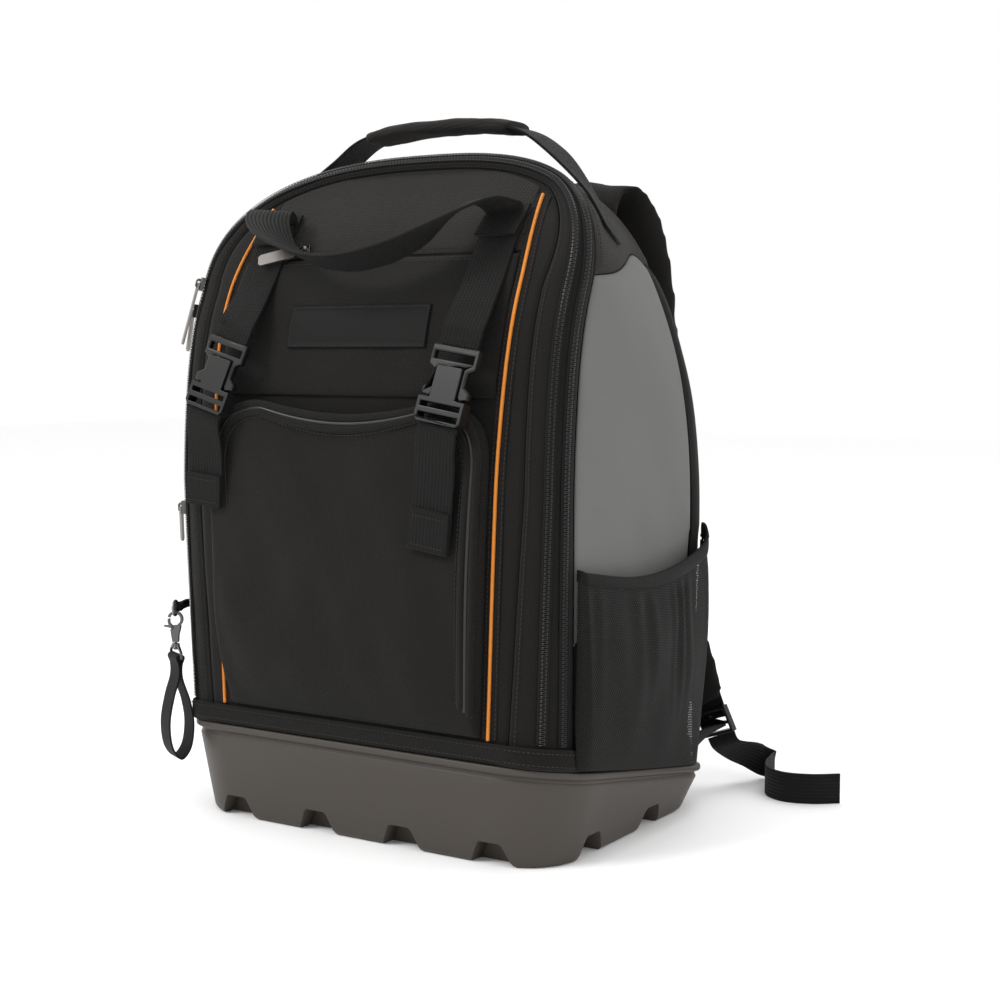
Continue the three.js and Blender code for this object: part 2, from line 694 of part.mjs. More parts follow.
// Webbing straps down the front, the carry loop between their tops, buckles and free tails.
const strapTop = { x: 108, z: 486 };
const strapOut = overFace + faceGap + webbing.thickness / 2;
const loopOut = strapOut + webbing.thickness + 2.6;
const buckle = { length: 58, width: 41, thickness: 10, plugThickness: 6 };
const buckles = {
  right: { top: vec(107, -145, 383), foot: vec(98, -158.5, 327), tail: vec(85, -153.2, 234) },
  left: { top: vec(-109, -145, 388), foot: vec(-124, -158.5, 334), tail: vec(-131, -153.2, 258) },
};
const sideways = vec(1, 0, 0);
for (const [name, side] of [['right', 1], ['left', -1]]) {
  const clip = buckles[name];
  const up = clip.top.clone().sub(clip.foot).normalize();
  const crosswise = sideways.clone().addScaledVector(up, -sideways.dot(up)).normalize();
  const middle = clip.top.clone().add(clip.foot).multiplyScalar(0.5);
  const holder = placed(middle, crosswise, crosswise.clone().cross(up));
  const half = buckle.width / 2;
  const end = buckle.length / 2;
  const arm = { inner: 11.5, outer: 14.5, ear: half, root: 14, tip: -10 };
  const slot = webbing.width / 2 + 0.8;

  const plug = new THREE.Shape([
    [-half, end], [-half, arm.root], [-arm.outer, arm.root - 3], [-arm.outer, 1], [-arm.ear, -3],
    [-arm.ear, arm.tip + 2], [-arm.inner - 2, arm.tip], [-arm.inner, arm.tip + 3], [-arm.inner, arm.root],
    [arm.inner, arm.root], [arm.inner, arm.tip + 3], [arm.inner + 2, arm.tip], [arm.ear, arm.tip + 2],
    [arm.ear, -3], [arm.outer, 1], [arm.outer, arm.root - 3], [half, arm.root], [half, end],
  ].map(([x, y]) => new THREE.Vector2(x, y)));
  const opening = (low, high) => new THREE.Path([[-slot, low], [slot, low], [slot, high], [-slot, high]]
    .map(([x, y]) => new THREE.Vector2(x, y)));
  plug.holes.push(opening(arm.root + 4, arm.root + 10));
  add(`buckle_plug_${name}`, new THREE.ExtrudeGeometry(plug, { depth: buckle.plugThickness, bevelEnabled: false })
    .translate(0, 0, -buckle.plugThickness / 2), plastic, holder);

  const socket = new THREE.Shape([
    [-arm.inner + seat, arm.root - seat], [-arm.inner + seat, arm.tip - seat], [-half, arm.tip - seat],
    [-half, -end + 3], [3 - half, -end], [half - 3, -end], [half, -end + 3], [half, arm.tip - seat],
    [arm.inner - seat, arm.tip - seat], [arm.inner - seat, arm.root - seat],
  ].map(([x, y]) => new THREE.Vector2(x, y)));
  socket.holes.push(opening(arm.tip - 8, arm.tip - 4), opening(-end + 2.5, -end + 7));
  add(`buckle_socket_${name}`, new THREE.ExtrudeGeometry(socket, { depth: buckle.thickness, bevelEnabled: false })
    .translate(0, 0, -buckle.thickness / 2), plastic, holder);

  const webEnd = seat;
  const slotFoot = clip.top.clone().addScaledVector(up, webEnd);
  const leaving = clip.top.clone().addScaledVector(up, 14);
  const straight = clip.top.clone().addScaledVector(up, 7);
  add(`front_strap_${name}`, ribbon([
    faceAt(side * strapTop.x, strapTop.z, strapOut),
    faceAt(side * strapTop.x, mix(flap.top, strapTop.z, 0.4), strapOut),
    faceAt(side * strapTop.x, mix(flap.foot, flap.top, 0.82), strapOut + 0.6),
    leaving,
    straight,
    slotFoot,
  ], [sideways, sideways, sideways, crosswise, crosswise, crosswise], webbing.width, webbing.thickness, 14), webCloth);

  const tailTop = clip.foot.clone().addScaledVector(up, -webEnd);
  const tailStart = tailTop.clone().addScaledVector(up, -6);
  const tailMiddle = tailTop.clone().lerp(clip.tail, 0.5);
  add(`strap_tail_${name}`, ribbon([tailTop, tailStart, tailMiddle, clip.tail],
    [crosswise, crosswise, sideways, sideways], webbing.width, webbing.thickness, 8), webCloth);
}

// Half of the loop, from where it is sewn on the strap to the middle in front; mirrored for the rest.
const loopHalf = [
  { at: faceAt(strapTop.x, 460, loopOut), wide: vec(1, 0, 0) },
  { at: faceAt(strapTop.x, 478, loopOut + 0.4), wide: vec(1, 0, 0) },
  { at: vec(101, -103, 491), wide: vec(0.95, -0.25, 0.05) },
  { at: vec(88, -124, 480), wide: vec(0.75, -0.6, 0.15) },
  { at: vec(64, -138, 462), wide: vec(0.3, -0.9, 0.25) },
  { at: vec(32, -145, 450), wide: vec(0.08, -0.95, 0.3) },
];
const loopMiddle = { at: vec(0, -147, 446), wide: vec(0, -0.95, 0.3) };
const flipX = (v) => vec(-v.x, v.y, v.z);
const loopRoute = [...loopHalf, loopMiddle,
  ...[...loopHalf].reverse().map(({ at, wide }) => ({ at: flipX(at), wide: flipX(wide) }))];
add('carry_loop', ribbon(loopRoute.map((p) => p.at), loopRoute.map((p) => p.wide),
  webbing.width, webbing.thickness, 32), webCloth);

// Side pockets: a net sheet that bulges out from the side, open at the top, with a bound edge.
const net = { thickness: 1.4, frontFoot: 0.85, frontTop: 0.93, rear: 2.25, binding: 11, bindingThickness: 1.5 };
const netRim = [
  { round: 0.9, z: 224 },
  { round: 1.4, z: 211 },
  { round: 1.8, z: 216 },
  { round: 2.25, z: 240 },
];
function netAt(side, bulge, u, v, lift) {
  const round = mix(mix(net.frontFoot, net.frontTop, v), net.rear, u);
  const y = skin(0.05, round).y;
  const foot = rimZ(y) + 2;
  const z = mix(foot, tableValue(netRim, 'round', 'z', round), v);
  const belly = Math.sin(Math.PI * u) ** 0.6 * Math.sin(Math.PI * mix(0.12, 0.86, v)) ** 0.7;
  const overBand = bandGap + band.thickness + 1.2;
  const edge = mix(overBand, faceGap + zip.thickness, clamp(v * 4, 0, 1));
  return sideAt(side, z, round, edge + bulge * belly + lift);
}
for (const [name, side, bulge] of [['right', 1, 20], ['left', -1, 26]]) {
  add(`side_pocket_${name}`, sheet((u, v) => netAt(side, bulge, u, v, net.thickness),
    (u, v) => netAt(side, bulge, u, v, 0), 12, 6), netCloth);
  const bindingFoot = 1 - net.binding / (netRim[1].z - boot.rimFront);
  const bound = (u, v) => [mix(0.02, 0.98, u), mix(bindingFoot, 1, v)];
  add(`pocket_binding_${name}`, sheet(
    (u, v) => netAt(side, bulge, ...bound(u, v), net.thickness + faceGap + net.bindingThickness),
    (u, v) => netAt(side, bulge, ...bound(u, v), net.thickness + faceGap), 12, 1), webCloth);
}

// Top grab handle: webbing over the crown with a padded sleeve round its middle.
const handle = { y: -4, height: 566, gripHalf: 69, gripWidth: 40, gripThickness: 11, foot: 1.24 };
const handleEnd = (rise) => skinAt(rise, handle.foot, webbing.thickness / 2 + faceGap);
const handleHalf = [
  handleEnd(0.66),
  handleEnd(0.70),
  handleEnd(0.735).add(vec(0, 0, 2)),
  vec(101, handle.y, handle.height - 28),
  vec(76, handle.y, handle.height - 13),
  vec(38, handle.y, handle.height - 6.5),
];
const handleRoute = [...handleHalf, vec(0, handle.y, handle.height - 5.5), ...[...handleHalf].reverse().map(flipX)];
const backwards = vec(0, 1, 0);
const alongSkin = (rise) => skin(rise, handle.foot + 0.1).sub(skin(rise, handle.foot - 0.1)).normalize();
const handleWide = [alongSkin(0.66), alongSkin(0.7), alongSkin(0.735), backwards, backwards, backwards];
add('grab_handle', ribbon(handleRoute, [...handleWide, backwards, ...[...handleWide].reverse().map(flipX)],
  webbing.width, webbing.thickness, 28), webCloth);
function sleeveRing(x, width, thickness) {
  const curve = new THREE.CatmullRomCurve3(handleRoute, false, 'centripetal');
  let low = 0;
  let high = 1;
  for (let i = 0; i < 30; i += 1) {
    const t = (low + high) / 2;
    if (curve.getPoint(t).x > x) low = t;
    else high = t;
  }
  const at = curve.getPoint(low);
  const thick = curve.getTangent(low).cross(backwards).normalize();
  const corners = [[-1, -0.45], [-0.88, -1], [0.88, -1], [1, -0.45], [1, 0.45], [0.88, 1], [-0.88, 1], [-1, 0.45]];
  return corners.map(([a, b]) => at.clone().addScaledVector(backwards, a * width / 2)
    .addScaledVector(thick, b * thickness / 2));
}
const gripStations = Array.from({ length: 9 }, (_, k) => mix(-handle.gripHalf, handle.gripHalf, k / 8));
const bore = { width: webbing.width + 1.6, thickness: webbing.thickness + 2.2 };
add('handle_grip', closedLoft([
  ...gripStations.map((x) => sleeveRing(x, handle.gripWidth, handle.gripThickness)),
  ...[...gripStations].reverse().map((x) => sleeveRing(x, bore.width, bore.thickness)),
]), topCloth);

// Padded shoulder straps from the top of the back down to a ladder lock at each lower corner, the
// webbing from a corner tab through the lock, and its free tail on the floor.
const shoulder = { width: 66, tip: 30, thickness: 13 };
const strapHalf = [
  { at: vec(60, 121.8, 468), wide: vec(1, 0, -0.1) },
  { at: vec(60, 120.4, 496), wide: vec(1, 0, -0.1) },
  { at: vec(62, 131, 516), wide: vec(1, 0, -0.15) },
  { at: vec(69, 146, 519), wide: vec(0.97, 0.02, -0.25) },
  { at: vec(79, 156, 502), wide: vec(0.94, 0.04, -0.33) },
  { at: vec(93, 158, 458), wide: vec(0.95, 0.04, -0.3) },
  { at: vec(105, 151, 388), wide: vec(0.98, 0.06, -0.15) },
  { at: vec(110, 146, 310), wide: vec(1, 0.06, -0.05) },
  { at: vec(113, 145, 235), wide: vec(1, 0.06, 0.05) },
  { at: vec(124, 149, 165), wide: vec(0.97, 0.1, 0.2) },
  { at: vec(144, 156, 112), wide: vec(0.88, 0.15, 0.42) },
  { at: vec(156, 159.7, 89), wide: vec(0.86, 0.12, 0.38) },
  { at: vec(162.3, 161.9, 72.2), wide: vec(0.9, 0.1, 0.36) },
];
const lockAt = vec(167, 163.5, 60);
const lock = { width: 32, height: 24, thickness: 6 };
// The free tail stands on its edge on the floor: points chosen along its middle line.
const tailHalf = [
  { at: vec(171.45, 165.05, 48.5), wide: vec(0.9, 0.1, 0.36) },
  { at: vec(174.5, 166.8, 41), wide: vec(0.88, 0.05, 0.4) },
  { at: vec(178, 181, 33), wide: vec(0.6, -0.35, 0.72) },
  { at: vec(184, 204, 24), wide: vec(0.35, -0.2, 0.9) },
  { at: vec(188, 219, 16), wide: vec(0, 0, 1) },
  { at: vec(196, 222, 13.2), wide: vec(0, 0, 1) },
  { at: vec(200, 208, 12.8), wide: vec(0, 0, 1) },
  { at: vec(205, 186, 12.8), wide: vec(0, 0, 1) },
  { at: vec(216, 166, 12.8), wide: vec(0, 0, 1) },
  { at: vec(234, 157, 12.8), wide: vec(0, 0, 1) },
  { at: vec(256, 162, 12.8), wide: vec(0, 0, 1) },
  { at: vec(276, 177, 12.8), wide: vec(0, 0, 1) },
];
const strapWidth = (t) => mix(shoulder.width, shoulder.tip, clamp((t - 0.72) / 0.28, 0, 1) ** 1.5);
for (const [name, side] of [['right', 1], ['left', -1]]) {
  const turned = (v) => (side > 0 ? v.clone() : flipX(v));
  add(`shoulder_strap_${name}`, paddedStrap(strapHalf.map((p) => turned(p.at)), strapHalf.map((p) => turned(p.wide)),
    strapWidth, shoulder.thickness, 26), topCloth);

  const lockHolder = placed(turned(lockAt), turned(vec(0.9, 0.1, 0.36)), turned(vec(0.1, 0.98, 0.17)));
  const frame = new THREE.Shape([
    [-lock.width / 2, -lock.height / 2], [lock.width / 2, -lock.height / 2],
    [lock.width / 2, lock.height / 2], [-lock.width / 2, lock.height / 2],
  ].map(([x, y]) => new THREE.Vector2(x, y)));
  const gap = slimWebbing.width / 2 + 0.7;
  for (const [low, high] of [[4, 9], [-2.5, 1.5], [-9, -5]]) {
    frame.holes.push(new THREE.Path([[-gap, low], [gap, low], [gap, high], [-gap, high]]
      .map(([x, y]) => new THREE.Vector2(x, y))));
  }
  add(`ladder_lock_${name}`, new THREE.ExtrudeGeometry(frame, { depth: lock.thickness, bevelEnabled: false })
    .translate(0, 0, -lock.thickness / 2), plastic, lockHolder);

  const cornerOut = band.thickness + bandGap + 5;
  const tabFoot = skinAt(side > 0 ? 0.035 : 1.965, 2.5, cornerOut);
  const tabEnd = turned(vec(167.8, 158.6, 52.6));
  add(`corner_tab_${name}`, ribbon([tabFoot, tabFoot.clone().lerp(tabEnd, 0.5).add(vec(0, 1, 0)), tabEnd],
    [vec(0.45, -0.3, 0.84), vec(0.6, -0.2, 0.7), vec(0.85, -0.2, 0.5)].map(turned),
    slimWebbing.width, slimWebbing.thickness, 4), webCloth);

  add(`strap_adjuster_tail_${name}`, ribbon(tailHalf.map((p) => turned(p.at)), tailHalf.map((p) => turned(p.wide)),
    slimWebbing.width, slimWebbing.thickness, 36), webCloth);
}

// Padding on the back: two upright cushions and one across the foot, flat against the back cloth.
const pad = { thickness: 13, edge: 9, foot: 96, split: 190, top: 452, gap: 8, halfWidth: 118, topHalfWidth: 84 };
function cushion(corners) {
  const middle = corners.reduce((sum, [x, z]) => [sum[0] + x / corners.length, sum[1] + z / corners.length], [0, 0]);
  const outline = new THREE.Shape([...corners, corners[0]].map(([x, z]) => new THREE.Vector2(x, z)));
  const points = outline.getSpacedPoints(20).slice(0, -1);
  const ring = (inset, out, share = 1) => points.map((p) => {
    const arm = new THREE.Vector2(p.x - middle[0], p.y - middle[1]);
    const shrink = share * Math.max(arm.length() - inset, 0) / arm.length();
    return backAt(middle[0] + arm.x * shrink, middle[1] + arm.y * shrink, out);
  });
  const foot = faceGap;
  const top = foot + pad.thickness;
  return loft([ring(0, foot, 0.3), ring(0, foot, 0.7), ring(0, foot), ring(0, mix(foot, top, 0.5)),
    ring(pad.edge, top), ring(pad.edge, top, 0.6)]);
}
for (const [name, side] of [['right', 1], ['left', -1]]) {
  const corners = [[pad.gap, pad.split + pad.gap], [pad.halfWidth, pad.split + pad.gap],
    [pad.topHalfWidth, pad.top], [pad.gap, pad.top]];
  add(`back_pad_${name}`, cushion(corners.map(([x, z]) => [side * x, z])), netCloth);
}
add('lumbar_pad', cushion([[-pad.halfWidth, pad.foot], [pad.halfWidth, pad.foot],
  [pad.halfWidth, pad.split - pad.gap], [-pad.halfWidth, pad.split - pad.gap]]), netCloth);

// Zip sliders with hanging pull tabs. Each pull's round pin turns in the slider's bridge.
const slider = { width: 9, length: 11, height: 3.2, bridgeWidth: 3.2, bridge: 8, tunnel: 2.2, pin: 0.7 };
const pinHeight = slider.height + 0.4 + slider.tunnel / 2;
function sliderSolid() {
  const arch = new THREE.Shape([
    [-slider.bridge / 2, slider.height - 0.5], [slider.bridge / 2, slider.height - 0.5],
    [slider.bridge / 2, slider.height + 2.4], [slider.bridge / 2 - 1.6, slider.height + slider.tunnel + 1.6],
    [1.6 - slider.bridge / 2, slider.height + slider.tunnel + 1.6], [-slider.bridge / 2, slider.height + 2.4],
  ].map(([y, z]) => new THREE.Vector2(y, z)));
  const half = 1.9;
  arch.holes.push(new THREE.Path([
    [-half, slider.height + 0.4], [half, slider.height + 0.4],
    [half, slider.height + 0.4 + slider.tunnel], [-half, slider.height + 0.4 + slider.tunnel],
  ].map(([y, z]) => new THREE.Vector2(y, z))));
  const bridge = new THREE.ExtrudeGeometry(arch, { depth: slider.bridgeWidth, bevelEnabled: false })
    .translate(0, 0, -slider.bridgeWidth / 2)
    .applyMatrix4(new THREE.Matrix4().makeBasis(vec(0, 1, 0), vec(0, 0, 1), vec(1, 0, 0)));
  return joined(box(slider.width, slider.length, slider.height, 0, 0, slider.height / 2), bridge);
}
function pullSolid(length, width, thickness) {
  const armWidth = 1.3;
  const armAt = slider.bridgeWidth / 2 + 0.5 + armWidth / 2;
  const pin = new THREE.CylinderGeometry(slider.pin, slider.pin, 2 * armAt + armWidth, 10).rotateZ(Math.PI / 2);
  const reach = slider.bridge / 2 + 1.6;
  const arms = [-1, 1].map((side) => box(armWidth, reach + slider.pin, 2 * slider.pin, side * armAt, -reach / 2));
  const outline = new THREE.Shape([
    [-armAt - armWidth / 2, -reach + 1.4], [-width / 2, -reach - 2], [-width / 2, -length + 2],
    [2 - width / 2, -length], [width / 2 - 2, -length], [width / 2, -length + 2],
    [width / 2, -reach - 2], [armAt + armWidth / 2, -reach + 1.4],
  ].map(([x, y]) => new THREE.Vector2(x, y)));
  const plate = new THREE.ExtrudeGeometry(outline, { depth: thickness, bevelEnabled: false })
    .translate(0, 0, -thickness / 2);
  return joined(pin, ...arms, plate).translate(0, 0, pinHeight);
}
// A slider set on the cloth at a point, its pull hanging along -Y of the holder.
function zipSlider(name, at, normal, hang, length, width, thickness, lift = 0) {
  const down = hang.clone().addScaledVector(normal, -hang.dot(normal)).normalize();
  const holder = placed(at, normal.clone().cross(down), normal);
  const pull = pullSolid(length, width, thickness).translate(0, 0, -pinHeight)
    .rotateX(-radians(lift)).translate(0, 0, pinHeight);
  add(`${name}_slider`, sliderSolid(), darkMetal, holder);
  add(`${name}_pull`, pull, metal, holder);
}
const plumb = vec(0, 0, -1);
const onZip = faceGap + zip.thickness + seat + 0.1;
const flapSliderAt = faceAt(-74, flap.top + 7, faceGap);
const faceNormal = faceAt(0, flap.top + 7, 1).sub(faceAt(0, flap.top + 7, 0));
zipSlider('flap', flapSliderAt, faceNormal, vec(-0.92, -0.1, -0.38), 38, 11, 2.4, 9);
for (const [name, rise, place, length] of [
  ['upper_zip', 0.508, zip.frontPlace, 52],
  ['lower_zip', 0.478, zip.rearPlace, 34],
  ['side_zip', 0.249, zip.rearPlace, 28],
]) {
  zipSlider(name, skinAt(2 - rise, place, onZip), skinNormal(2 - rise, place), plumb, length, 6, 1.8);
}

// Wrist loop: a webbing tab on the left pocket holds a ring; a snap hook clips to it and a swivel
// eye carries the loop of webbing. The hook's plane faces forwards, the ring's stands across it.
const hook = { x: -177, y: -141, ring: 170, ringRadius: 6, stock: 1.1, claw: 4.5, thickness: 3.2 };
const facing = vec(0.4, -0.917, 0).normalize();
const acrossHook = vec(0.917, 0.4, 0).normalize();
const hookPoint = (a, z, out = 0) => vec(hook.x, hook.y, z).addScaledVector(acrossHook, a).addScaledVector(facing, out);
const ringBack = -hook.ringRadius;
add('hook_tab', ribbon([
  hookPoint(-0.9, hook.ring, -31),
  hookPoint(-0.9, hook.ring, -15),
  hookPoint(-2.6, hook.ring, ringBack),
  hookPoint(0, hook.ring, ringBack + 3.2),
  hookPoint(2.6, hook.ring, ringBack),
  hookPoint(0.9, hook.ring, -15),
  hookPoint(0.9, hook.ring, -31),
], Array(7).fill(vec(0, 0, 1)), 6.4, 1.1, 18), webCloth);
add('hook_ring', new THREE.TorusGeometry(hook.ringRadius, hook.stock, 8, 20), metal,
  placed(hookPoint(0, hook.ring), facing, acrossHook));

const clawZ = hook.ring - hook.ringRadius + hook.stock + seat - hook.claw;
const hookHolder = placed(hookPoint(0, clawZ), acrossHook, facing);
const plate = (rows, low, high, hole) => {
  const outline = new THREE.Shape(rows.map(([x, y]) => new THREE.Vector2(x, y)));
  if (hole) outline.holes.push(hole);
  return new THREE.ExtrudeGeometry(outline, { depth: high - low, bevelEnabled: false, curveSegments: 6 })
    .translate(0, 0, low);
};
const clawArc = (radius, from, to) => Array.from({ length: 13 }, (_, k) => {
  const turn = radians(mix(from, to, k / 12));
  return [radius * Math.cos(turn), radius * Math.sin(turn)];
});
const heel = { x: -2.9, y: -6.7, radius: 1.3, pin: 0.5, bore: 0.8 };
const halfThick = hook.thickness / 2;
const stem = { top: -19, foot: -24, radius: 1.2, head: 2.2 };
const upright = (radius, length, y, sides = 12) => new THREE.CylinderGeometry(radius, radius, length, sides)
  .translate(0, y, 0);
add('snap_hook', joined(
  plate([...clawArc(hook.claw + 2.2, -62, 165), ...clawArc(hook.claw, 165, -62)], -1.2, 1.2),
  plate([[-1.2, -5], [4.4, -4.6], [4.6, -7], [2.9, -13], [2.6, stem.top], [-2.6, stem.top], [-3.6, -13],
    [-4.2, -8.4], [-1.2, -8.4]], -halfThick, halfThick),
  plate([[0, -5.4], [0, -9.4], [-4, -9.4], [-4.4, -7], [-3, -5.2]], -halfThick, 0.6 - halfThick),
  new THREE.CylinderGeometry(heel.pin, heel.pin, hook.thickness, 10).rotateX(Math.PI / 2).translate(heel.x, heel.y, 0),
  upright(stem.radius, stem.top - stem.foot + 1, (stem.top + stem.foot + 1) / 2),
  upright(stem.head, 1.4, stem.foot - 0.5),
), darkMetal, hookHolder);
const boreHole = new THREE.Path();
boreHole.absarc(heel.x, heel.y, heel.bore, 0, 2 * Math.PI);
const heelArc = Array.from({ length: 9 }, (_, k) => {
  const turn = radians(mix(-150, 60, k / 8));
  return [heel.x + heel.radius * Math.cos(turn), heel.y + heel.radius * Math.sin(turn)];
});
add('snap_hook_gate', plate([
  ...heelArc, [-4.4, -3], [-4.5, 0.7], [-5.4, 0.45], [-6.35, 0.05], [-6.3, -3], [-5.4, -5.2], [-9.6, -5],
  [-9.6, -6.4],
], 0.9 - halfThick, halfThick, boreHole), darkMetal, hookHolder);

const eye = { turn: 50, halfWidth: 12.6, inner: 10.8, top: -20.2, foot: -32, bar: 2, boss: 3.2, bore: 1.6 };
const barWay = acrossHook.clone().multiplyScalar(Math.cos(radians(eye.turn)))
  .addScaledVector(facing, Math.sin(radians(eye.turn)));
const loopWay = barWay.clone().cross(vec(0, 0, 1));
const eyeHolder = placed(hookPoint(0, clawZ), barWay, loopWay);
const eyeHole = new THREE.Path([
  [-eye.inner, eye.foot + eye.bar], [eye.inner, eye.foot + eye.bar], [eye.inner, -27],
  [5, eye.top - 2.6], [-5, eye.top - 2.6], [-eye.inner, -27],
].map(([x, y]) => new THREE.Vector2(x, y)));
const eyeBody = joined(
  plate([[-eye.halfWidth, eye.foot], [eye.halfWidth, eye.foot], [eye.halfWidth, -26.4], [5.6, eye.top],
    [-5.6, eye.top], [-eye.halfWidth, -26.4]], -1.1, 1.1, eyeHole),
  upright(eye.boss, 2.6, eye.top - 1.3),
);
add('swivel_eye', cutFrom(eyeBody, [upright(eye.bore, 8, eye.top - 1.3)]), darkMetal, eyeHolder);

const barZ = clawZ + eye.foot + eye.bar / 2;
const loopPoint = (a, z) => hookPoint(0, z).addScaledVector(loopWay, a);
const wristRoute = [
  [0, barZ + 2.6], [3, barZ + 0.4], [1.2, barZ - 6], [1.2, barZ - 16], [6, barZ - 32], [10, barZ - 55],
  [7, barZ - 76], [0, barZ - 84], [-7, barZ - 77], [-10.5, barZ - 58], [-8, barZ - 38], [-1.2, barZ - 16],
  [-1.2, barZ - 6], [-3, barZ + 0.4],
];
const wristCurve = new THREE.CatmullRomCurve3(wristRoute.map(([a, z]) => loopPoint(a, z)), true, 'centripetal');
const wrist = { width: 20, thickness: 1.5, steps: 40 };
add('wrist_loop', closedLoft(Array.from({ length: wrist.steps }, (_, k) => {
  const at = wristCurve.getPoint(k / wrist.steps);
  const thick = wristCurve.getTangent(k / wrist.steps).cross(barWay).normalize();
  return [[1, 1], [-1, 1], [-1, -1], [1, -1]].map(([a, b]) => at.clone()
    .addScaledVector(barWay, a * wrist.width / 2).addScaledVector(thick, b * wrist.thickness / 2));
})), webCloth);

export default group;
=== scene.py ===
# A tool backpack standing on its moulded boot: black woven cloth, gray sides, orange piping, webbing
# straps with side-release buckles, net side pockets and padded shoulder straps. Metres, front to -Y.
import math

import bmesh
import bpy
import numpy as np
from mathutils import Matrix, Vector


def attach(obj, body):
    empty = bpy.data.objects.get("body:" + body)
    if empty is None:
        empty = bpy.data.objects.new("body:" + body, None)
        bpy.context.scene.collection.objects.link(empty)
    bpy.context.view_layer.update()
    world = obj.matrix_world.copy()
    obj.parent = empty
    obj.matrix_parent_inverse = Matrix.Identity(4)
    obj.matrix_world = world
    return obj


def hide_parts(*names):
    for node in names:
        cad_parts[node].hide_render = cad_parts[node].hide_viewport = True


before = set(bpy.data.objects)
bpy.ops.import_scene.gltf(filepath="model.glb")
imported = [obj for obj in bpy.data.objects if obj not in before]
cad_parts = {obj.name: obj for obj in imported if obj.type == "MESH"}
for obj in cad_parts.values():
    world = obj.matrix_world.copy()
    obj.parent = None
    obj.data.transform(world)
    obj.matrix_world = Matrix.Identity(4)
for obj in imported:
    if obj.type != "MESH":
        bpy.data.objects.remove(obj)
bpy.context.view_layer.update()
MM = 0.001

# Camera and studio: the photograph's view of the pack, a plain white floor, and soft area lamps at the
# front left, on the right and overhead.
camera = bpy.data.objects.new("camera", bpy.data.cameras.new("camera"))
camera.data.sensor_width = 36.0
camera.data.lens = 61.24
camera.location = (0.793, -1.163, 0.380)
camera.rotation_euler = (math.radians(85.0), 0.0, math.radians(32.6))
bpy.context.collection.objects.link(camera)
bpy.context.scene.camera = camera
bpy.context.scene.view_settings.view_transform = "Standard"


def soft_light(name, place, target, size, power):
    """A square area lamp at a place in metres, turned towards a target; power is in watts."""
    lamp = bpy.data.lights.new(name, "AREA")
    lamp.size = size
    lamp.energy = power
    holder = bpy.data.objects.new(name, lamp)
    holder.location = place
    holder.rotation_euler = (Vector(target) - Vector(place)).to_track_quat("-Z", "Y").to_euler()
    bpy.context.collection.objects.link(holder)


soft_light("key_light", (-1.0, -1.8, 1.9), (0, 0, 0.25), 1.0, 38)
soft_light("side_light", (2.2, -0.5, 1.1), (0, 0, 0.25), 1.0, 8)
soft_light("top_light", (0.2, 0.4, 2.2), (0, 0, 0.3), 1.6, 14)
world = bpy.data.worlds.new("studio")
world.use_nodes = True
world.node_tree.nodes["Background"].inputs["Color"].default_value = (1, 1, 1, 1)
world.node_tree.nodes["Background"].inputs["Strength"].default_value = 1.0
bpy.context.scene.world = world


def plain_mesh(name, points, faces):
    """A mesh object from a list of points in metres and a list of faces."""
    mesh = bpy.data.meshes.new(name)
    mesh.from_pydata(np.asarray(points, float).tolist(), [], faces)
    mesh.update()
    thing = bpy.data.objects.new(name, mesh)
    bpy.context.collection.objects.link(thing)
    return thing


floor = plain_mesh("floor", [(-6, -6, 0), (6, -6, 0), (6, 6, 0), (-6, 6, 0)], [(0, 1, 2, 3)])
floor_paint = bpy.data.materials.new("floor_white")
floor_paint.use_nodes = True
floor_paint.node_tree.nodes["Principled BSDF"].inputs["Base Color"].default_value = (0.97, 0.97, 0.97, 1)
floor_paint.node_tree.nodes["Principled BSDF"].inputs["Roughness"].default_value = 0.9
floor.data.materials.append(floor_paint)

# Boot: one shell of satin rubber, moulded in one piece, with a proud lip over a groove, rounded lugs
# round its foot and an inward ledge that carries the cloth body.
BOOT = {"half": 173.0, "front": -128.0, "back": 122.0, "corner": 46.0, "flare": 13.0}
RIM_FRONT, RIM_BACK = 77.0, 34.0
LUG_STEP, SIDE_LUG_STEP, SIDE_LUG_MIDDLE = 82.0, 94.0, -21
LUG_PROFILE = [(-19.5, -2), (19.5, -2), (10.6, 16.4), (8.4, 18), (-8.4, 18), (-10.6, 16.4)]
FLOAT, VECTOR = "NodeSocketFloat", "NodeSocketVector"


def effect(name, inputs, outputs):
    """An empty shader group with named number inputs and outputs, and its two end nodes."""
    group = bpy.data.node_groups.new(name, "ShaderNodeTree")
    for label, kind, value in inputs:
        socket = group.interface.new_socket(label, in_out="INPUT", socket_type=kind)
        if value is not None:
            socket.default_value = value
    for label, kind in outputs:
        group.interface.new_socket(label, in_out="OUTPUT", socket_type=kind)
    return group, group.nodes.new("NodeGroupInput"), group.nodes.new("NodeGroupOutput")


def math_node(tree, operation, first, second=None, third=None):
    """The output of a Math node whose inputs are numbers or the outputs of other nodes."""
    node = tree.nodes.new("ShaderNodeMath")
    node.operation = operation
    for slot, value in zip(node.inputs, (first, second, third)):
        if value is None:
            continue
        if isinstance(value, (int, float)):
            slot.default_value = value
        else:
            tree.links.new(value, slot)
    return node.outputs[0]


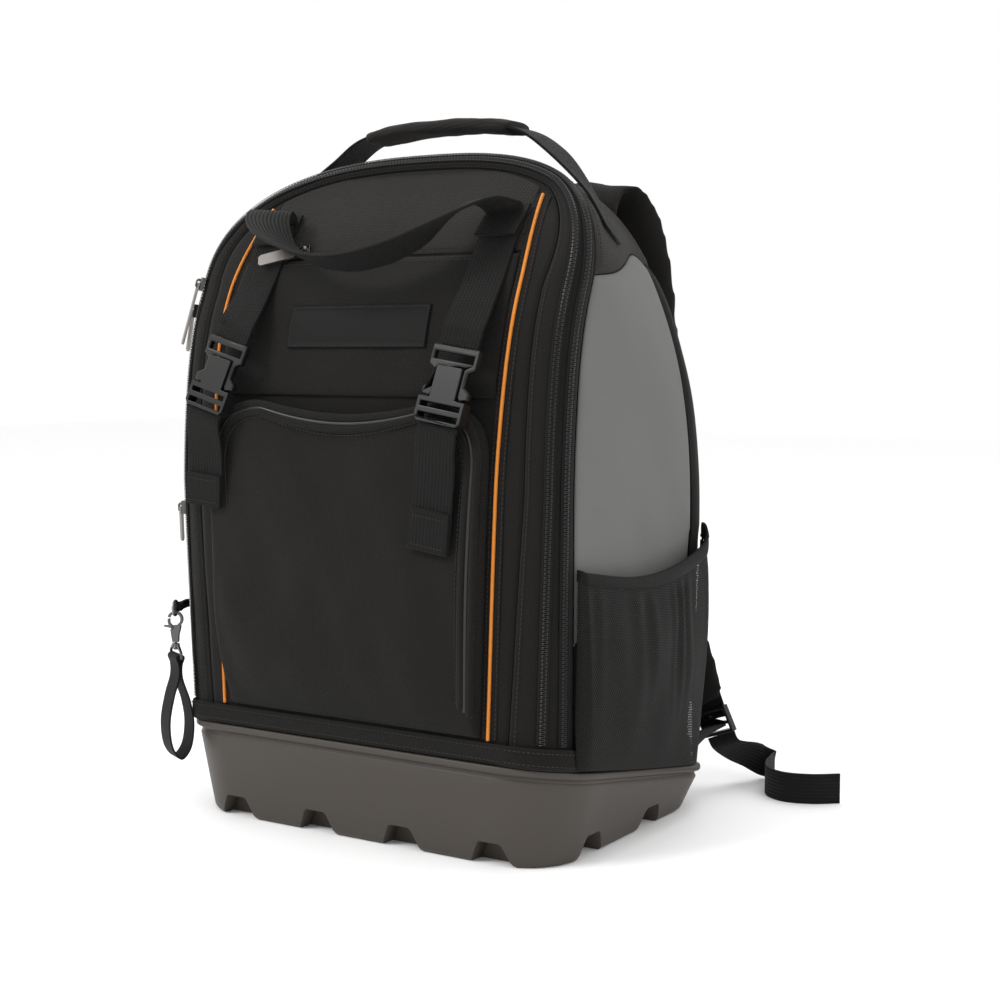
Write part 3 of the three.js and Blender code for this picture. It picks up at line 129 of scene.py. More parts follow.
# Wear: slow cloudy change of tone, fine speckle, and a small change of roughness.
wear, e_in, e_out = effect(
    "wear",
    [("Vector", VECTOR, None), ("Patch", FLOAT, 9.0), ("Speckle", FLOAT, 700.0)],
    [("Tone", FLOAT), ("Rough", FLOAT), ("Grain", FLOAT)],
)
clouds = wear.nodes.new("ShaderNodeTexNoise")
clouds.inputs["Detail"].default_value = 4.0
specks = wear.nodes.new("ShaderNodeTexNoise")
specks.inputs["Detail"].default_value = 2.0
for node, scale in ((clouds, "Patch"), (specks, "Speckle")):
    wear.links.new(e_in.outputs["Vector"], node.inputs["Vector"])
    wear.links.new(e_in.outputs[scale], node.inputs["Scale"])
both = math_node(wear, "ADD", math_node(wear, "MULTIPLY", clouds.outputs["Fac"], 0.7),
                 math_node(wear, "MULTIPLY", specks.outputs["Fac"], 0.3))
wear.links.new(math_node(wear, "MULTIPLY_ADD", both, 1.1, 0.45), e_out.inputs["Tone"])
wear.links.new(math_node(wear, "MULTIPLY_ADD", clouds.outputs["Fac"], 0.16, -0.08), e_out.inputs["Rough"])
wear.links.new(specks.outputs["Fac"], e_out.inputs["Grain"])


def placed_group(tree, group, values, vector):
    """An effect placed in a material, with its own values, reading the given coordinates."""
    node = tree.nodes.new("ShaderNodeGroup")
    node.node_tree = group
    for name, value in values.items():
        node.inputs[name].default_value = value
    tree.links.new(vector, node.inputs["Vector"])
    return node


def surface_finish(name, color, rough, spread=1.0, patch=9.0, speckle=700.0, threads=None, slant=0.0,
                   depth=0.0004, sheen=0.0, metal=0.0, grain=0.00004, gloss=0.1, holes=None):
    """Base colour times the wear tone (and the weave's painted shade), roughness moved by wear, a bump from
    the weave's height and the grain. holes makes a net: (pitch, share of the pitch that is thread)."""
    material = bpy.data.materials.new(name)
    material.use_nodes = True
    tree = material.node_tree
    shader = tree.nodes["Principled BSDF"]
    where = tree.nodes.new("ShaderNodeTexCoord")
    marks = placed_group(tree, wear, {"Patch": patch, "Speckle": speckle}, where.outputs["Object"])
    tone = marks.outputs["Tone"]
    height = math_node(tree, "MULTIPLY", marks.outputs["Grain"], grain)
    if threads:
        cloth = placed_group(tree, weave, {"Pitch": threads, "Slant": slant}, where.outputs["UV"])
        tone = math_node(tree, "MULTIPLY", tone, cloth.outputs["Shade"])
        height = math_node(tree, "MULTIPLY_ADD", cloth.outputs["Height"], depth, height)
    if holes:
        pitch, thread = holes
        split = tree.nodes.new("ShaderNodeSeparateXYZ")
        tree.links.new(where.outputs["UV"], split.inputs[0])
        ridge = []
        for sign in (1.0, -1.0):
            lean = math_node(tree, "MULTIPLY_ADD", split.outputs[1], 0.6 * sign, split.outputs[0])
            ridge.append(math_node(tree, "SINE", math_node(tree, "MULTIPLY", lean, math.pi / pitch)))
        gap = math_node(tree, "MULTIPLY", math_node(tree, "ABSOLUTE", ridge[0]),
                        math_node(tree, "ABSOLUTE", ridge[1]))
        tree.links.new(math_node(tree, "LESS_THAN", gap, thread), shader.inputs["Alpha"])
        height = math_node(tree, "MULTIPLY_ADD", gap, -0.0006, height)
    paint = tree.nodes.new("ShaderNodeMix")
    paint.data_type = "RGBA"
    dark = [c * (1 - 0.45 * spread) for c in color]
    light = [min(c * (1 + 0.55 * spread), 1) for c in color]
    paint.inputs["A"].default_value = (*dark, 1)
    paint.inputs["B"].default_value = (*light, 1)
    tree.links.new(math_node(tree, "MULTIPLY", tone, 0.5), paint.inputs["Factor"])
    tree.links.new(paint.outputs["Result"], shader.inputs["Base Color"])
    roughness = math_node(tree, "ADD", marks.outputs["Rough"], rough)
    tree.links.new(roughness, shader.inputs["Roughness"])
    bump = tree.nodes.new("ShaderNodeBump")
    bump.inputs["Strength"].default_value = 1.0
    bump.inputs["Distance"].default_value = 1.0
    tree.links.new(height, bump.inputs["Height"])
    tree.links.new(bump.outputs["Normal"], shader.inputs["Normal"])
    shader.inputs["Metallic"].default_value = metal
    shader.inputs["Sheen Weight"].default_value = sheen
    shader.inputs["Specular IOR Level"].default_value = gloss
    return material


boot_rubber = surface_finish("boot_rubber", (0.044, 0.0375, 0.0318), 0.46, 0.32, patch=14, speckle=900,
                             grain=0.00012, gloss=0.3)


def dress(thing, material, nodes=(), body="pack"):
    """Gives a finished piece its finish and body, and hides the CAD nodes that it stands for."""
    thing.data.materials.clear()
    thing.data.materials.append(material)
    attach(thing, body)
    if nodes:
        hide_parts(*nodes)
    return thing


def shaded_smooth(thing):
    """Marks every face of a piece as smooth."""
    thing.data.polygons.foreach_set("use_smooth", np.ones(len(thing.data.polygons), bool))
    return thing


def grid_piece(name, points, uv=None, around=False, flip=False, poles=(False, False)):
    """Quads over a grid of points in mm, rows first. around joins the last column to the first, poles
    closes the first or last row on its middle. uv holds metres; by default the lengths along the grid."""
    rows, cols = points.shape[:2]
    flat = points.reshape(-1, 3)
    if uv is None:
        across = np.linalg.norm(np.diff(points, axis=1), axis=2)
        upward = np.linalg.norm(np.diff(points, axis=0), axis=2)
        u = np.concatenate([np.zeros((rows, 1)), across.cumsum(1)], 1)
        v = np.concatenate([np.zeros((1, cols)), upward.cumsum(0)], 0)
        uv = np.stack([u, v], 2) * MM
    last = cols if around else cols - 1
    i, j = np.meshgrid(np.arange(last), np.arange(rows - 1))
    a = (j * cols + i).ravel()
    b = (j * cols + (i + 1) % cols).ravel()
    quads = np.stack([a, b, b + cols, a + cols], 1)
    faces = quads.tolist()
    flat_uv = uv.reshape(-1, 2)
    extra = []
    for end, row in ((0, 0), (1, rows - 1)):
        if poles[end]:
            tip = len(flat) + len(extra)
            extra.append(points[row].mean(0))
            ring = row * cols + np.arange(cols)
            pairs = np.stack([ring, np.roll(ring, -1)], 1)
            if end == 0:
                pairs = pairs[:, ::-1]
            faces += [[p, q, tip] for p, q in pairs.tolist()]
            flat_uv = np.concatenate([flat_uv, uv[row].mean(0)[None]])
    if extra:
        flat = np.concatenate([flat, np.array(extra)])
    if flip:
        faces = [face[::-1] for face in faces]
    thing = plain_mesh(name, flat * MM, faces)
    layer = thing.data.uv_layers.new(name="cloth")
    corner = np.empty(len(thing.data.loops), np.int32)
    thing.data.loops.foreach_get("vertex_index", corner)
    layer.data.foreach_set("uv", flat_uv[corner].ravel())
    return shaded_smooth(thing)


def joined_mesh(name, things, smooth=True):
    """One object from several mesh objects, which are removed."""
    maker = bmesh.new()
    for thing in things:
        maker.from_mesh(thing.data)
    mesh = bpy.data.meshes.new(name)
    maker.to_mesh(mesh)
    maker.free()
    for thing in things:
        bpy.data.meshes.remove(thing.data)
    whole = bpy.data.objects.new(name, mesh)
    bpy.context.collection.objects.link(whole)
    mesh.polygons.foreach_set("use_smooth", np.full(len(mesh.polygons), smooth))
    return whole


def faces_outwards(thing, merge=False):
    """Turns a closed mesh's faces outwards, after merging its doubles where that is asked for."""
    maker = bmesh.new()
    maker.from_mesh(thing.data)
    if merge:
        bmesh.ops.remove_doubles(maker, verts=maker.verts, dist=1e-6)
    bmesh.ops.recalc_face_normals(maker, faces=maker.faces)
    maker.to_mesh(thing.data)
    maker.free()


def rounded_edges(thing, mm, segments, angle):
    """A bevel of mm on every edge that turns by more than angle degrees."""
    edge = thing.modifiers.new("rounding", "BEVEL")
    edge.width = mm * MM
    edge.segments = segments
    edge.limit_method = "ANGLE"
    edge.angle_limit = math.radians(angle)


def apply_modifiers(thing):
    """Puts the result of a piece's modifiers into its mesh."""
    view = bpy.context.evaluated_depsgraph_get()
    mesh = bpy.data.meshes.new_from_object(thing.evaluated_get(view))
    old = thing.data
    thing.modifiers.clear()
    thing.data = mesh
    bpy.data.meshes.remove(old)
    return thing


def rim_z(y):
    """Height of the rim: a straight slope from the front down to the back."""
    return RIM_FRONT - (RIM_FRONT - RIM_BACK) / (BOOT["back"] - BOOT["front"]) * (y - BOOT["front"])


def boot_outline(grow, steps=22, straight=26):
    """Rounded rectangle in plan: corner arcs of 90 degrees joined by straight runs, all grown outwards."""
    half, front, back = BOOT["half"] + grow, BOOT["front"] - grow, BOOT["back"] + grow
    radius = max(BOOT["corner"] + grow, 6.0)
    corners = []
    for sx, sy, start in ((1, -1, -90), (1, 1, 0), (-1, 1, 90), (-1, -1, 180)):
        turn = np.radians(start + np.linspace(0, 90, steps))
        mid_y = front + radius if sy < 0 else back - radius
        mid_x = sx * (half - radius)
        corners.append(np.stack([mid_x + radius * np.cos(turn), mid_y + radius * np.sin(turn)], 1))
    rows = []
    for k in range(4):
        rows.append(corners[k])
        share = np.linspace(0, 1, straight)[1:-1, None]
        rows.append(corners[k][-1] * (1 - share) + corners[(k + 1) % 4][0] * share)
    return np.concatenate(rows)


def boot_ring(grow, height):
    """The grown outline, with height(y) at each of its points."""
    plan = boot_outline(grow)
    return np.concatenate([plan, height(plan[:, 1])[:, None]], 1)


# Rows from under the foot up the wall, over the lip and down inside: growth, and height at a place y.
wall_rows = []
for grow, level in ((-5.0, 0.0), (-2.4, 0.5), (-0.7, 1.8), (0.6, 4.0)):
    wall_rows.append((grow, lambda y, level=level: y * 0 + level))
for share in np.linspace(0.08, 1, 14):
    wall_rows.append((share * (BOOT["flare"] - 2.2) + 0.6,
                      lambda y, share=share: 4 + share * (rim_z(y) - 11 - 4)))
for grow, drop in ((11.0, 9.6), (10.4, 8.8), (10.4, 7.2), (11.4, 6.2), (13.6, 5.6), (14.8, 4.8), (15.2, 3.6),
                   (15.2, 1.6), (14.7, 0.5), (13.6, 0.0), (9.0, 0.0), (2.0, 0.0), (-0.8, 0.4), (-0.8, 3.0)):
    wall_rows.append((grow, lambda y, drop=drop: rim_z(y) - drop))
wall_rows.append((6.5, lambda y: rim_z(y) - 10.0))
for grow, level in ((0.0, 24.0), (-17.0, 22.0), (-18.5, 20.0), (-19.0, 4.2)):
    wall_rows.append((grow, lambda y, level=level: y * 0 + level))
boot_shell = grid_piece("boot_shell", np.stack([boot_ring(g, h) for g, h in wall_rows]), around=True,
                        poles=(True, True))

# Notches between the lugs: prisms of one profile, four across the front and the back, two a side.
lug_cuts = []
for k in (-1.5, -0.5, 0.5, 1.5):
    lug_cuts += [(k * LUG_STEP, BOOT["front"], 0.0), (k * LUG_STEP, BOOT["back"], math.pi)]
for k in (-0.5, 0.5):
    for side in (1, -1):
        lug_cuts.append((side * BOOT["half"], SIDE_LUG_MIDDLE + k * SIDE_LUG_STEP, side * math.pi / 2))
prism_faces = [list(range(6))[::-1], list(range(6, 12))]
prism_faces += [[i, (i + 1) % 6, 6 + (i + 1) % 6, 6 + i] for i in range(6)]
prisms = []
for x, y, turn in lug_cuts:
    points = [(px, py, pz) for py in (-30, 15) for px, pz in LUG_PROFILE]
    spin = np.array([[math.cos(turn), -math.sin(turn), 0], [math.sin(turn), math.cos(turn), 0], [0, 0, 1]])
    prisms.append(plain_mesh("lug_cut", (np.array(points) @ spin.T + (x, y, 0)) * MM, prism_faces))
cutter = joined_mesh("lug_cutter", prisms, smooth=False)
faces_outwards(boot_shell)
faces_outwards(cutter)
cut = boot_shell.modifiers.new("lugs", "BOOLEAN")
cut.operation = "DIFFERENCE"
cut.object = cutter
cut.solver = "EXACT"
rounded_edges(boot_shell, 1.6, 3, 32)
apply_modifiers(boot_shell)
bpy.data.objects.remove(cutter)
shaded_smooth(boot_shell).data.set_sharp_from_angle(angle=math.radians(40))
dress(boot_shell, boot_rubber, ["moulded_base"])


# Cloth body: panels of black, gray and charcoal woven cloth, all cut from one rounded arch form, turned
# in at their seams and sewn together with a groove between them.
HALF, TOP, FRONT, BACK = 183.0, 534.0, -136.0, 120.0
WAIST = 275.0
SHOULDER_FRONT, SHOULDER_BACK = 428.0, 230.0
ROUND_FRONT, ROUND_BACK = 2.6, 2.25
CORNER_FOOT, CORNER_SIDE, CORNER_CROWN = 42, 28, 11
REAR_CORNER_FOOT, REAR_CORNER_CROWN = 50, 24
FRONT_LEAN, BACK_LEAN = 106.0, 12.0
LEAN = ([0.14, 0.515, 0.65, 0.736, 0.802, 0.871, 0.946, 1.0], [0, 0.01, 0.055, 0.13, 0.25, 0.45, 0.75, 1.0])
SEAM = 0.008
GUSSET_END = 0.95
SIDE_START = GUSSET_END + 0.03
BACK_SEAM = 2.975
GRAY = {"front": 0.489, "rear": 0.745, "foot": 1.97, "top": 1.99}
chance = np.random.RandomState(7)

# Plain weave: warp and weft threads as rounded ridges that take turns on top.
weave, w_in, w_out = effect(
    "weave",
    [("Vector", VECTOR, None), ("Pitch", FLOAT, 0.0009), ("Slant", FLOAT, 0.0)],
    [("Height", FLOAT), ("Shade", FLOAT)],
)
split = weave.nodes.new("ShaderNodeSeparateXYZ")
weave.links.new(w_in.outputs["Vector"], split.inputs[0])
slanted = math_node(weave, "MULTIPLY_ADD", split.outputs[1], w_in.outputs["Slant"], split.outputs[0])
turns = [
    math_node(weave, "DIVIDE", math_node(weave, "MULTIPLY", axis, math.pi), w_in.outputs["Pitch"])
    for axis in (slanted, split.outputs[1])
]
waves = [math_node(weave, "SINE", turn) for turn in turns]
over = math_node(weave, "GREATER_THAN", math_node(weave, "MULTIPLY", waves[0], waves[1]), 0.0)
ridges = [math_node(weave, "ABSOLUTE", wave) for wave in waves]
mixed = math_node(
    weave,
    "ADD",
    math_node(weave, "MULTIPLY", ridges[0], over),
    math_node(weave, "MULTIPLY", ridges[1], math_node(weave, "SUBTRACT", 1.0, over)),
)
weave.links.new(mixed, w_out.inputs["Height"])
# Shade is painted shade: darker in the hollows between the threads, lighter on their crowns.
weave.links.new(math_node(weave, "MULTIPLY_ADD", mixed, 0.55, 0.6), w_out.inputs["Shade"])

black_cloth = surface_finish("black_cloth", (0.0076, 0.0069, 0.0063), 0.78, 0.5, threads=0.0011,
                             depth=0.00028, sheen=0.05)
top_cloth = surface_finish("charcoal_cloth", (0.0165, 0.0148, 0.0132), 0.8, 0.7, threads=0.0016, slant=0.8,
                           depth=0.0005, sheen=0.05)
gray_cloth = surface_finish("gray_cloth", (0.135, 0.138, 0.130), 0.86, 0.4, threads=0.0009, depth=0.00022,
                            sheen=0.08)


def folds(p, q, size, count=24, stretch=(1.0, 1.0)):
    """Smooth seeded folds: a sum of sine waves of mixed direction and wavelength near size, in mm."""
    total = np.zeros(np.broadcast(p, q).shape)
    for _ in range(count):
        turn = chance.uniform(0, math.pi)
        wave = size * chance.uniform(0.6, 1.9)
        shift = chance.uniform(0, 2 * math.pi)
        across = p * math.cos(turn) / stretch[0] + q * math.sin(turn) / stretch[1]
        total += np.sin(2 * math.pi * across / wave + shift)
    return total / math.sqrt(count)


def between(first, last, share):
    """The value a share of the way from first to last."""
    return first + (last - first) * share


def grid(rows, columns):
    """Two parameters on a grid, each given as (start, end, count)."""
    return np.meshgrid(np.linspace(*rows), np.linspace(*columns), indexing="ij")


def thickened(thing, mm):
    """Gives a cloth surface its thickness in mm, inwards."""
    wall = thing.modifiers.new("thickness", "SOLIDIFY")
    wall.thickness = mm * MM
    wall.offset = -1.0
    return thing


def smooth_table(at, xs, ys):
    """Cubic pieces through a short table; the slope at a row is taken from its neighbours."""
    xs, ys = np.asarray(xs, float), np.asarray(ys, float)
    slope = np.gradient(ys, xs)
    slope[1:-1] = (ys[2:] - ys[:-2]) / (xs[2:] - xs[:-2])
    at = np.clip(at, xs[0], xs[-1])
    i = np.clip(np.searchsorted(xs, at, side="right") - 1, 0, len(xs) - 2)
    span = xs[i + 1] - xs[i]
    t = (at - xs[i]) / span
    r = t - 1
    return ((1 + 2 * t) * r * r * ys[i] + t * t * (3 - 2 * t) * ys[i + 1]
            + span * (t * r * r * slope[i] + t * t * r * slope[i + 1]))


def front_y(z):
    """The front face's depth: upright, then leaning back towards the crown as the table says."""
    return FRONT + FRONT_LEAN * smooth_table(z / TOP, *LEAN)


def back_y(z):
    """The back face's depth: the same table, leaning forwards and much less."""
    return BACK - BACK_LEAN * smooth_table(z / TOP, *LEAN)


def arch_point(rise, depth, inset, foot):
    """Straight side up to the shoulder (rise 0.5), then a superellipse quarter to the crown (rise 1)."""
    shoulder = between(SHOULDER_FRONT, SHOULDER_BACK, depth)
    power = between(ROUND_FRONT, ROUND_BACK, depth)
    low_z = between(foot, shoulder, rise * 2)
    low_x = HALF - 5.0 * np.maximum(0, 1 - low_z / WAIST) - inset
    turn = np.clip(rise - 0.5, 0, 0.5) * math.pi
    high_x = (HALF - inset) * np.maximum(np.cos(turn), 0) ** (2 / power)
    high_z = shoulder + (TOP - inset - shoulder) * np.maximum(np.sin(turn), 0) ** (2 / power)
    low = rise <= 0.5
    return np.where(low, low_x, high_x), np.where(low, low_z, high_z)


def corner_radius(rise, z):
    """The front corner's radius: it shrinks from the foot to the waist, and again towards the crown."""
    low = between(CORNER_FOOT, CORNER_SIDE, np.clip(z / WAIST, 0, 1))
    high = between(CORNER_SIDE, CORNER_CROWN, np.clip((rise - 0.5) * 4, 0, 1))
    return np.where(rise <= 0.5, low, high)


def skin(along, around):
    """The body's surface: along runs 0 to 2 from the right foot over the crown to the left foot, around
    runs 0 to 1 over the front corner, to 2 along the side and to 3 over the back corner."""
    along, around = np.broadcast_arrays(np.asarray(along, float), np.asarray(around, float))
    rise = np.where(along <= 1, along, 2 - along)
    side = np.where(along <= 1, 1.0, -1.0)
    _, seam_z = arch_point(rise, 0.0, corner_radius(rise, TOP / 2), RIM_FRONT)
    radius = corner_radius(rise, seam_z)
    behind = between(REAR_CORNER_FOOT, REAR_CORNER_CROWN, np.clip(rise, 0, 1))
    _, back_z = arch_point(rise, 1.0, behind, RIM_BACK - 0 * rise)
    near = front_y(seam_z) + radius
    far = back_y(back_z) - behind
    front_turn = np.clip(around, 0, 1) * math.pi / 2
    back_turn = np.clip(around - 2, 0, 1) * math.pi / 2
    depth = np.clip(around - 1, 0, 1)
    inset = np.where(around < 1, radius * (1 - np.sin(front_turn)), behind * (1 - np.cos(back_turn)))
    y = np.where(around < 1, near - radius * np.cos(front_turn),
                 np.where(around <= 2, between(near, far, depth), far + behind * np.sin(back_turn)))
    x, z = arch_point(rise, depth, inset, rim_z(y) + 0.8)
    return np.stack([side * x, y, z], -1)


def unit(v):
    """Vectors along the last axis, scaled to a length of one."""
    return v / np.maximum(np.linalg.norm(v, axis=-1, keepdims=True), 1e-9)


def skin_normal(along, around):
    """The outward normal: the cross product of two short steps over the surface."""
    step = 0.004
    up = skin(np.minimum(along + step, 2), around) - skin(np.maximum(along - step, 0), around)
    across = skin(along, np.minimum(around + step, 3)) - skin(along, np.maximum(around - step, 0))
    return unit(np.cross(across, up))


def skin_out(along, around, out):
    """A point out mm above the surface, along its normal."""
    return skin(along, around) + skin_normal(along, around) * np.asarray(out)[..., None]


def edge_roll(distance, dip=1.6, width=5.0):
    """How far cloth turns in near a seam: a dip that fades over a few mm."""
    return -dip * np.exp(-(distance / width) ** 2)


def body_panel(name, place, shape, puff, material, nodes, size=55.0, wave=0.5):
    """A panel: place(u, v) gives (along, around). A square-root bulge of puff mm between the seams,
    seeded folds and the roll at each edge lift it from the body's surface."""
    v, u = grid((0, 1, shape[0]), (0, 1, shape[1]))
    along, around = place(u, v)
    base = skin(along, around)
    width = np.linalg.norm(np.diff(base, axis=1), axis=2).sum(1).mean()
    length = np.linalg.norm(np.diff(base, axis=0), axis=2).sum(0).mean()
    edge = np.minimum(np.minimum(u, 1 - u) * width, np.minimum(v, 1 - v) * length)
    swell = puff * np.clip(16 * u * (1 - u) * v * (1 - v), 0, 1) ** 0.5
    wrinkle = wave * folds(u * width, v * length, size) * np.clip(edge / 12, 0, 1)
    out = swell + wrinkle + edge_roll(edge)
    piece = grid_piece(name, base + skin_normal(along, around) * out[..., None])
    return dress(thickened(piece, 2.0), material, nodes)


def gray_top(around):
    """Where the gray side ends above: a quarter sine that rises from its front to its rear."""
    share = np.clip((around - GUSSET_END) / (GRAY["top"] - GUSSET_END), 0, 1)
    return between(GRAY["front"], GRAY["rear"], np.sin(share * math.pi / 2))


def gray_rear(rise):
    """Where the gray side ends behind: a seam that leans back a little as it rises."""
    return between(GRAY["foot"], GRAY["top"], np.clip(rise / GRAY["rear"], 0, 1) ** 1.4)


body_panel("gusset_cloth", lambda u, v: (v * 2, between(SEAM, GUSSET_END, u)), (260, 26), 0.6,
           black_cloth, ["zip_gusset"], wave=0.25)
for side_name, mirror in (("right", False), ("left", True)):
    def gray_part(u, v, low, high, mirror=mirror):
        """Between the gusset and the slanting rear seam; low and high are heights as shares of the
        way from the foot to the sloping top edge, whose place is found by a few repeats."""
        top = 0.6 + 0 * u
        for _ in range(6):
            top = gray_top(np.minimum(between(SIDE_START, gray_rear(top), u), GRAY["top"]))
        rise = between(low, high, v) * top
        return (2 - rise if mirror else rise), between(SIDE_START, gray_rear(rise), u)

    def rear_place(u, v, mirror=mirror):
        """Between the slanting rear seam and the back face's seam."""
        rise = v * GRAY["rear"]
        return (2 - rise if mirror else rise), between(gray_rear(rise) + 0.016, BACK_SEAM, u)

    belly = 13.0 if mirror else 3.0
    side_cloths = [
        body_panel("gray_side_" + side_name, lambda u, v: gray_part(u, v, 0.26, 1.0), (130, 80), belly,
                   gray_cloth, ["side_panel_" + side_name], size=85, wave=0.75),
        # Below the net the gray side's lower part is drawn in black cloth: painted shade, the gray side
        # darkened behind the net.
        body_panel("shade_behind_net_" + side_name, lambda u, v: gray_part(u, v, 0.0, 0.27), (50, 60), 1.0,
                   black_cloth, [], size=85, wave=0.3),
        body_panel("rear_side_" + side_name, rear_place, (110, 50), 1.6, black_cloth,
                   ["rear_side_panel_" + side_name], size=70, wave=0.6),
    ]
    if mirror:
        for cloth in side_cloths:
            cloth.data.flip_normals()


def top_place(u, v):
    """Over the crown from one gray side's top edge to the other's."""
    around = between(SIDE_START, BACK_SEAM, u)
    start = gray_top(np.minimum(around, GRAY["top"])) + 0.002
    return start + (2 - 2 * start) * v, around


body_panel("top_cloth_panel", top_place, (200, 80), 1.2, top_cloth, ["top_panel"], size=90)

# Lining: one dark cloth shell a little inside the panels, sewn in with them, which shows only at the
# bottom of the seams.
v, u = grid((0.0, 2.0, 160), (0.0, 3.0, 60))
dress(grid_piece("body_lining", skin_out(v, u, -3.4 + 0 * u)), black_cloth)


# Front and back faces: two flat panels of the same black cloth, sewn in between the seams of the gusset
# at the front and of the sides at the back.
def lengths_along(path):
    """The length from a path's first point to each of its points."""
    return np.concatenate([[0], np.linalg.norm(np.diff(path, axis=0), axis=1).cumsum()])


def end_panel(name, around, y_of, sign, nodes):
    """A face of level rows from seam to seam: x is the seam's x times u, y the face's profile."""
    rise, u = grid((0, 0.985, 150), (-1, 1, 70))
    seam = skin(rise, around)
    x, z = (seam[..., 0] - 0.4) * u, seam[..., 2]
    edge = (1 - np.abs(u)) * np.abs(seam[..., 0])
    out = 0.35 * folds(x, z, 80) + edge_roll(edge)
    points = np.stack([x, y_of(z) + sign * out, z], -1)
    uv = np.stack([x, lengths_along(points[:, 35])[:, None] + 0 * x], -1) * MM
    piece = grid_piece(name, points, uv, flip=sign > 0)
    dress(thickened(piece, 2.0), black_cloth, nodes)


end_panel("front_face", 0.0, front_y, -1, ["front_panel"])
end_panel("back_face", 3.0, back_y, 1, ["back_panel"])

# Band round the foot: a strip of the same cloth, folded under along both edges, lapped over the boot's
# lip and sewn down with two rows.
around_row = np.concatenate([np.linspace(0, 3, 90), np.linspace(3, 0, 90)])
along_row = np.concatenate([np.full(90, 0.01), np.full(90, 1.99)])
band_base = skin(along_row, around_row)
band_normal = skin_normal(along_row, around_row)
band_normal[:, 2] = 0
band_normal = unit(band_normal)
band_high = 16 + 6 * (band_base[:, 1] - BOOT["front"]) / 250.0
band_rows = []
for share, out in ((0.02, 1.6), (0.0, 3.2), (0.05, 4.6), (0.3, 4.9), (0.55, 4.7), (0.8, 4.5), (0.95, 4.1),
                   (1.0, 3.0), (0.98, 1.8)):
    row = band_base + band_normal * (out + 0.18 * folds(np.arange(180) * 6.5, 0, 60))[:, None]
    row[:, 2] = rim_z(row[:, 1]) + 0.4 + share * band_high
    band_rows.append(row)
band = grid_piece("foot_band", np.stack(band_rows), around=True)
dress(band, black_cloth, ["stitched_band"])


def at_lengths(path, place, at):
    """Points of a path at given lengths, between those in place, by straight lines."""
    return np.stack([np.interp(at, place, path[:, k]) for k in range(path.shape[1])], 1)


def frames_along(path, normals, at):
    """At each length along a path: its point, the way ahead, the way up, and their cross product."""
    place = lengths_along(path)
    middle = at_lengths(path, place, at)
    way = unit(at_lengths(path, place, at + 0.5) - middle + 1e-9)
    up = unit(at_lengths(normals, place, at))
    return middle, way, up, np.cross(up, way)


def small_bodies(name, points, sides):
    """One mesh of many small closed bodies, each of four rings with as many corners as sides says;
    points holds an array for each corner, with a row for each body."""
    count = len(points[0])
    loop = [(i, (i + 1) % sides, (i + 1) % sides + sides, i + sides) for i in range(sides)]
    walls = [[k * sides + corner for corner in face] for k in range(3) for face in loop]
    ends = [list(range(sides))[::-1], list(range(3 * sides, 4 * sides))]
    first = 4 * sides * np.arange(count)[:, None, None]
    faces = (np.array(walls) + first).reshape(-1, 4).tolist()
    faces += (np.array(ends) + first).reshape(-1, sides).tolist()
    return plain_mesh(name, np.stack(points, 1).reshape(-1, 3) * MM, faces)


thread = surface_finish("thread", (0.03, 0.028, 0.026), 0.6, 0.4)


def stitches(name, path, normals, pitch=3.6, length=2.5):
    """A row of thread stitches along a path in mm: each is a small four-sided bead lying on the cloth,
    drawn in at both ends."""
    half_width, proud = 0.4, 0.45
    at = (np.arange(int(lengths_along(path)[-1] // pitch)) + 0.5) * pitch
    middle, way, up, wide = frames_along(path, normals, at)
    points = []
    for share, scale in ((-0.5, 0.35), (-0.3, 1.0), (0.3, 1.0), (0.5, 0.35)):
        for a, b in ((1, 0), (0, 1), (-1, 0), (0, -0.8)):
            spot = middle + way * share * length
            points.append(spot + wide * (a * scale * half_width) + up * (b * scale * proud))
    dress(small_bodies(name, points, 4), thread)


for k, share in enumerate((0.22, 0.8)):
    row = band_base + band_normal * 5.0
    row[:, 2] = rim_z(row[:, 1]) + 0.4 + share * band_high
    ring = np.concatenate([row, row[:1]])
    stitches(f"band_stitches_{k + 1}", ring, np.concatenate([band_normal, band_normal[:1]]))

# Sewing along the body's seams: rows of dark thread through both layers, beside the gusset's front seam
# and along the front edge of the top panel.
for name, along, around in (("gusset_stitches", np.linspace(0.02, 1.98, 500), 0.10),
                            ("top_stitches", np.linspace(0.53, 1.47, 300), SIDE_START + 0.05)):
    around = np.full(len(along), around)
    stitches(name, skin_out(along, around, 0.5), skin_normal(along, around))

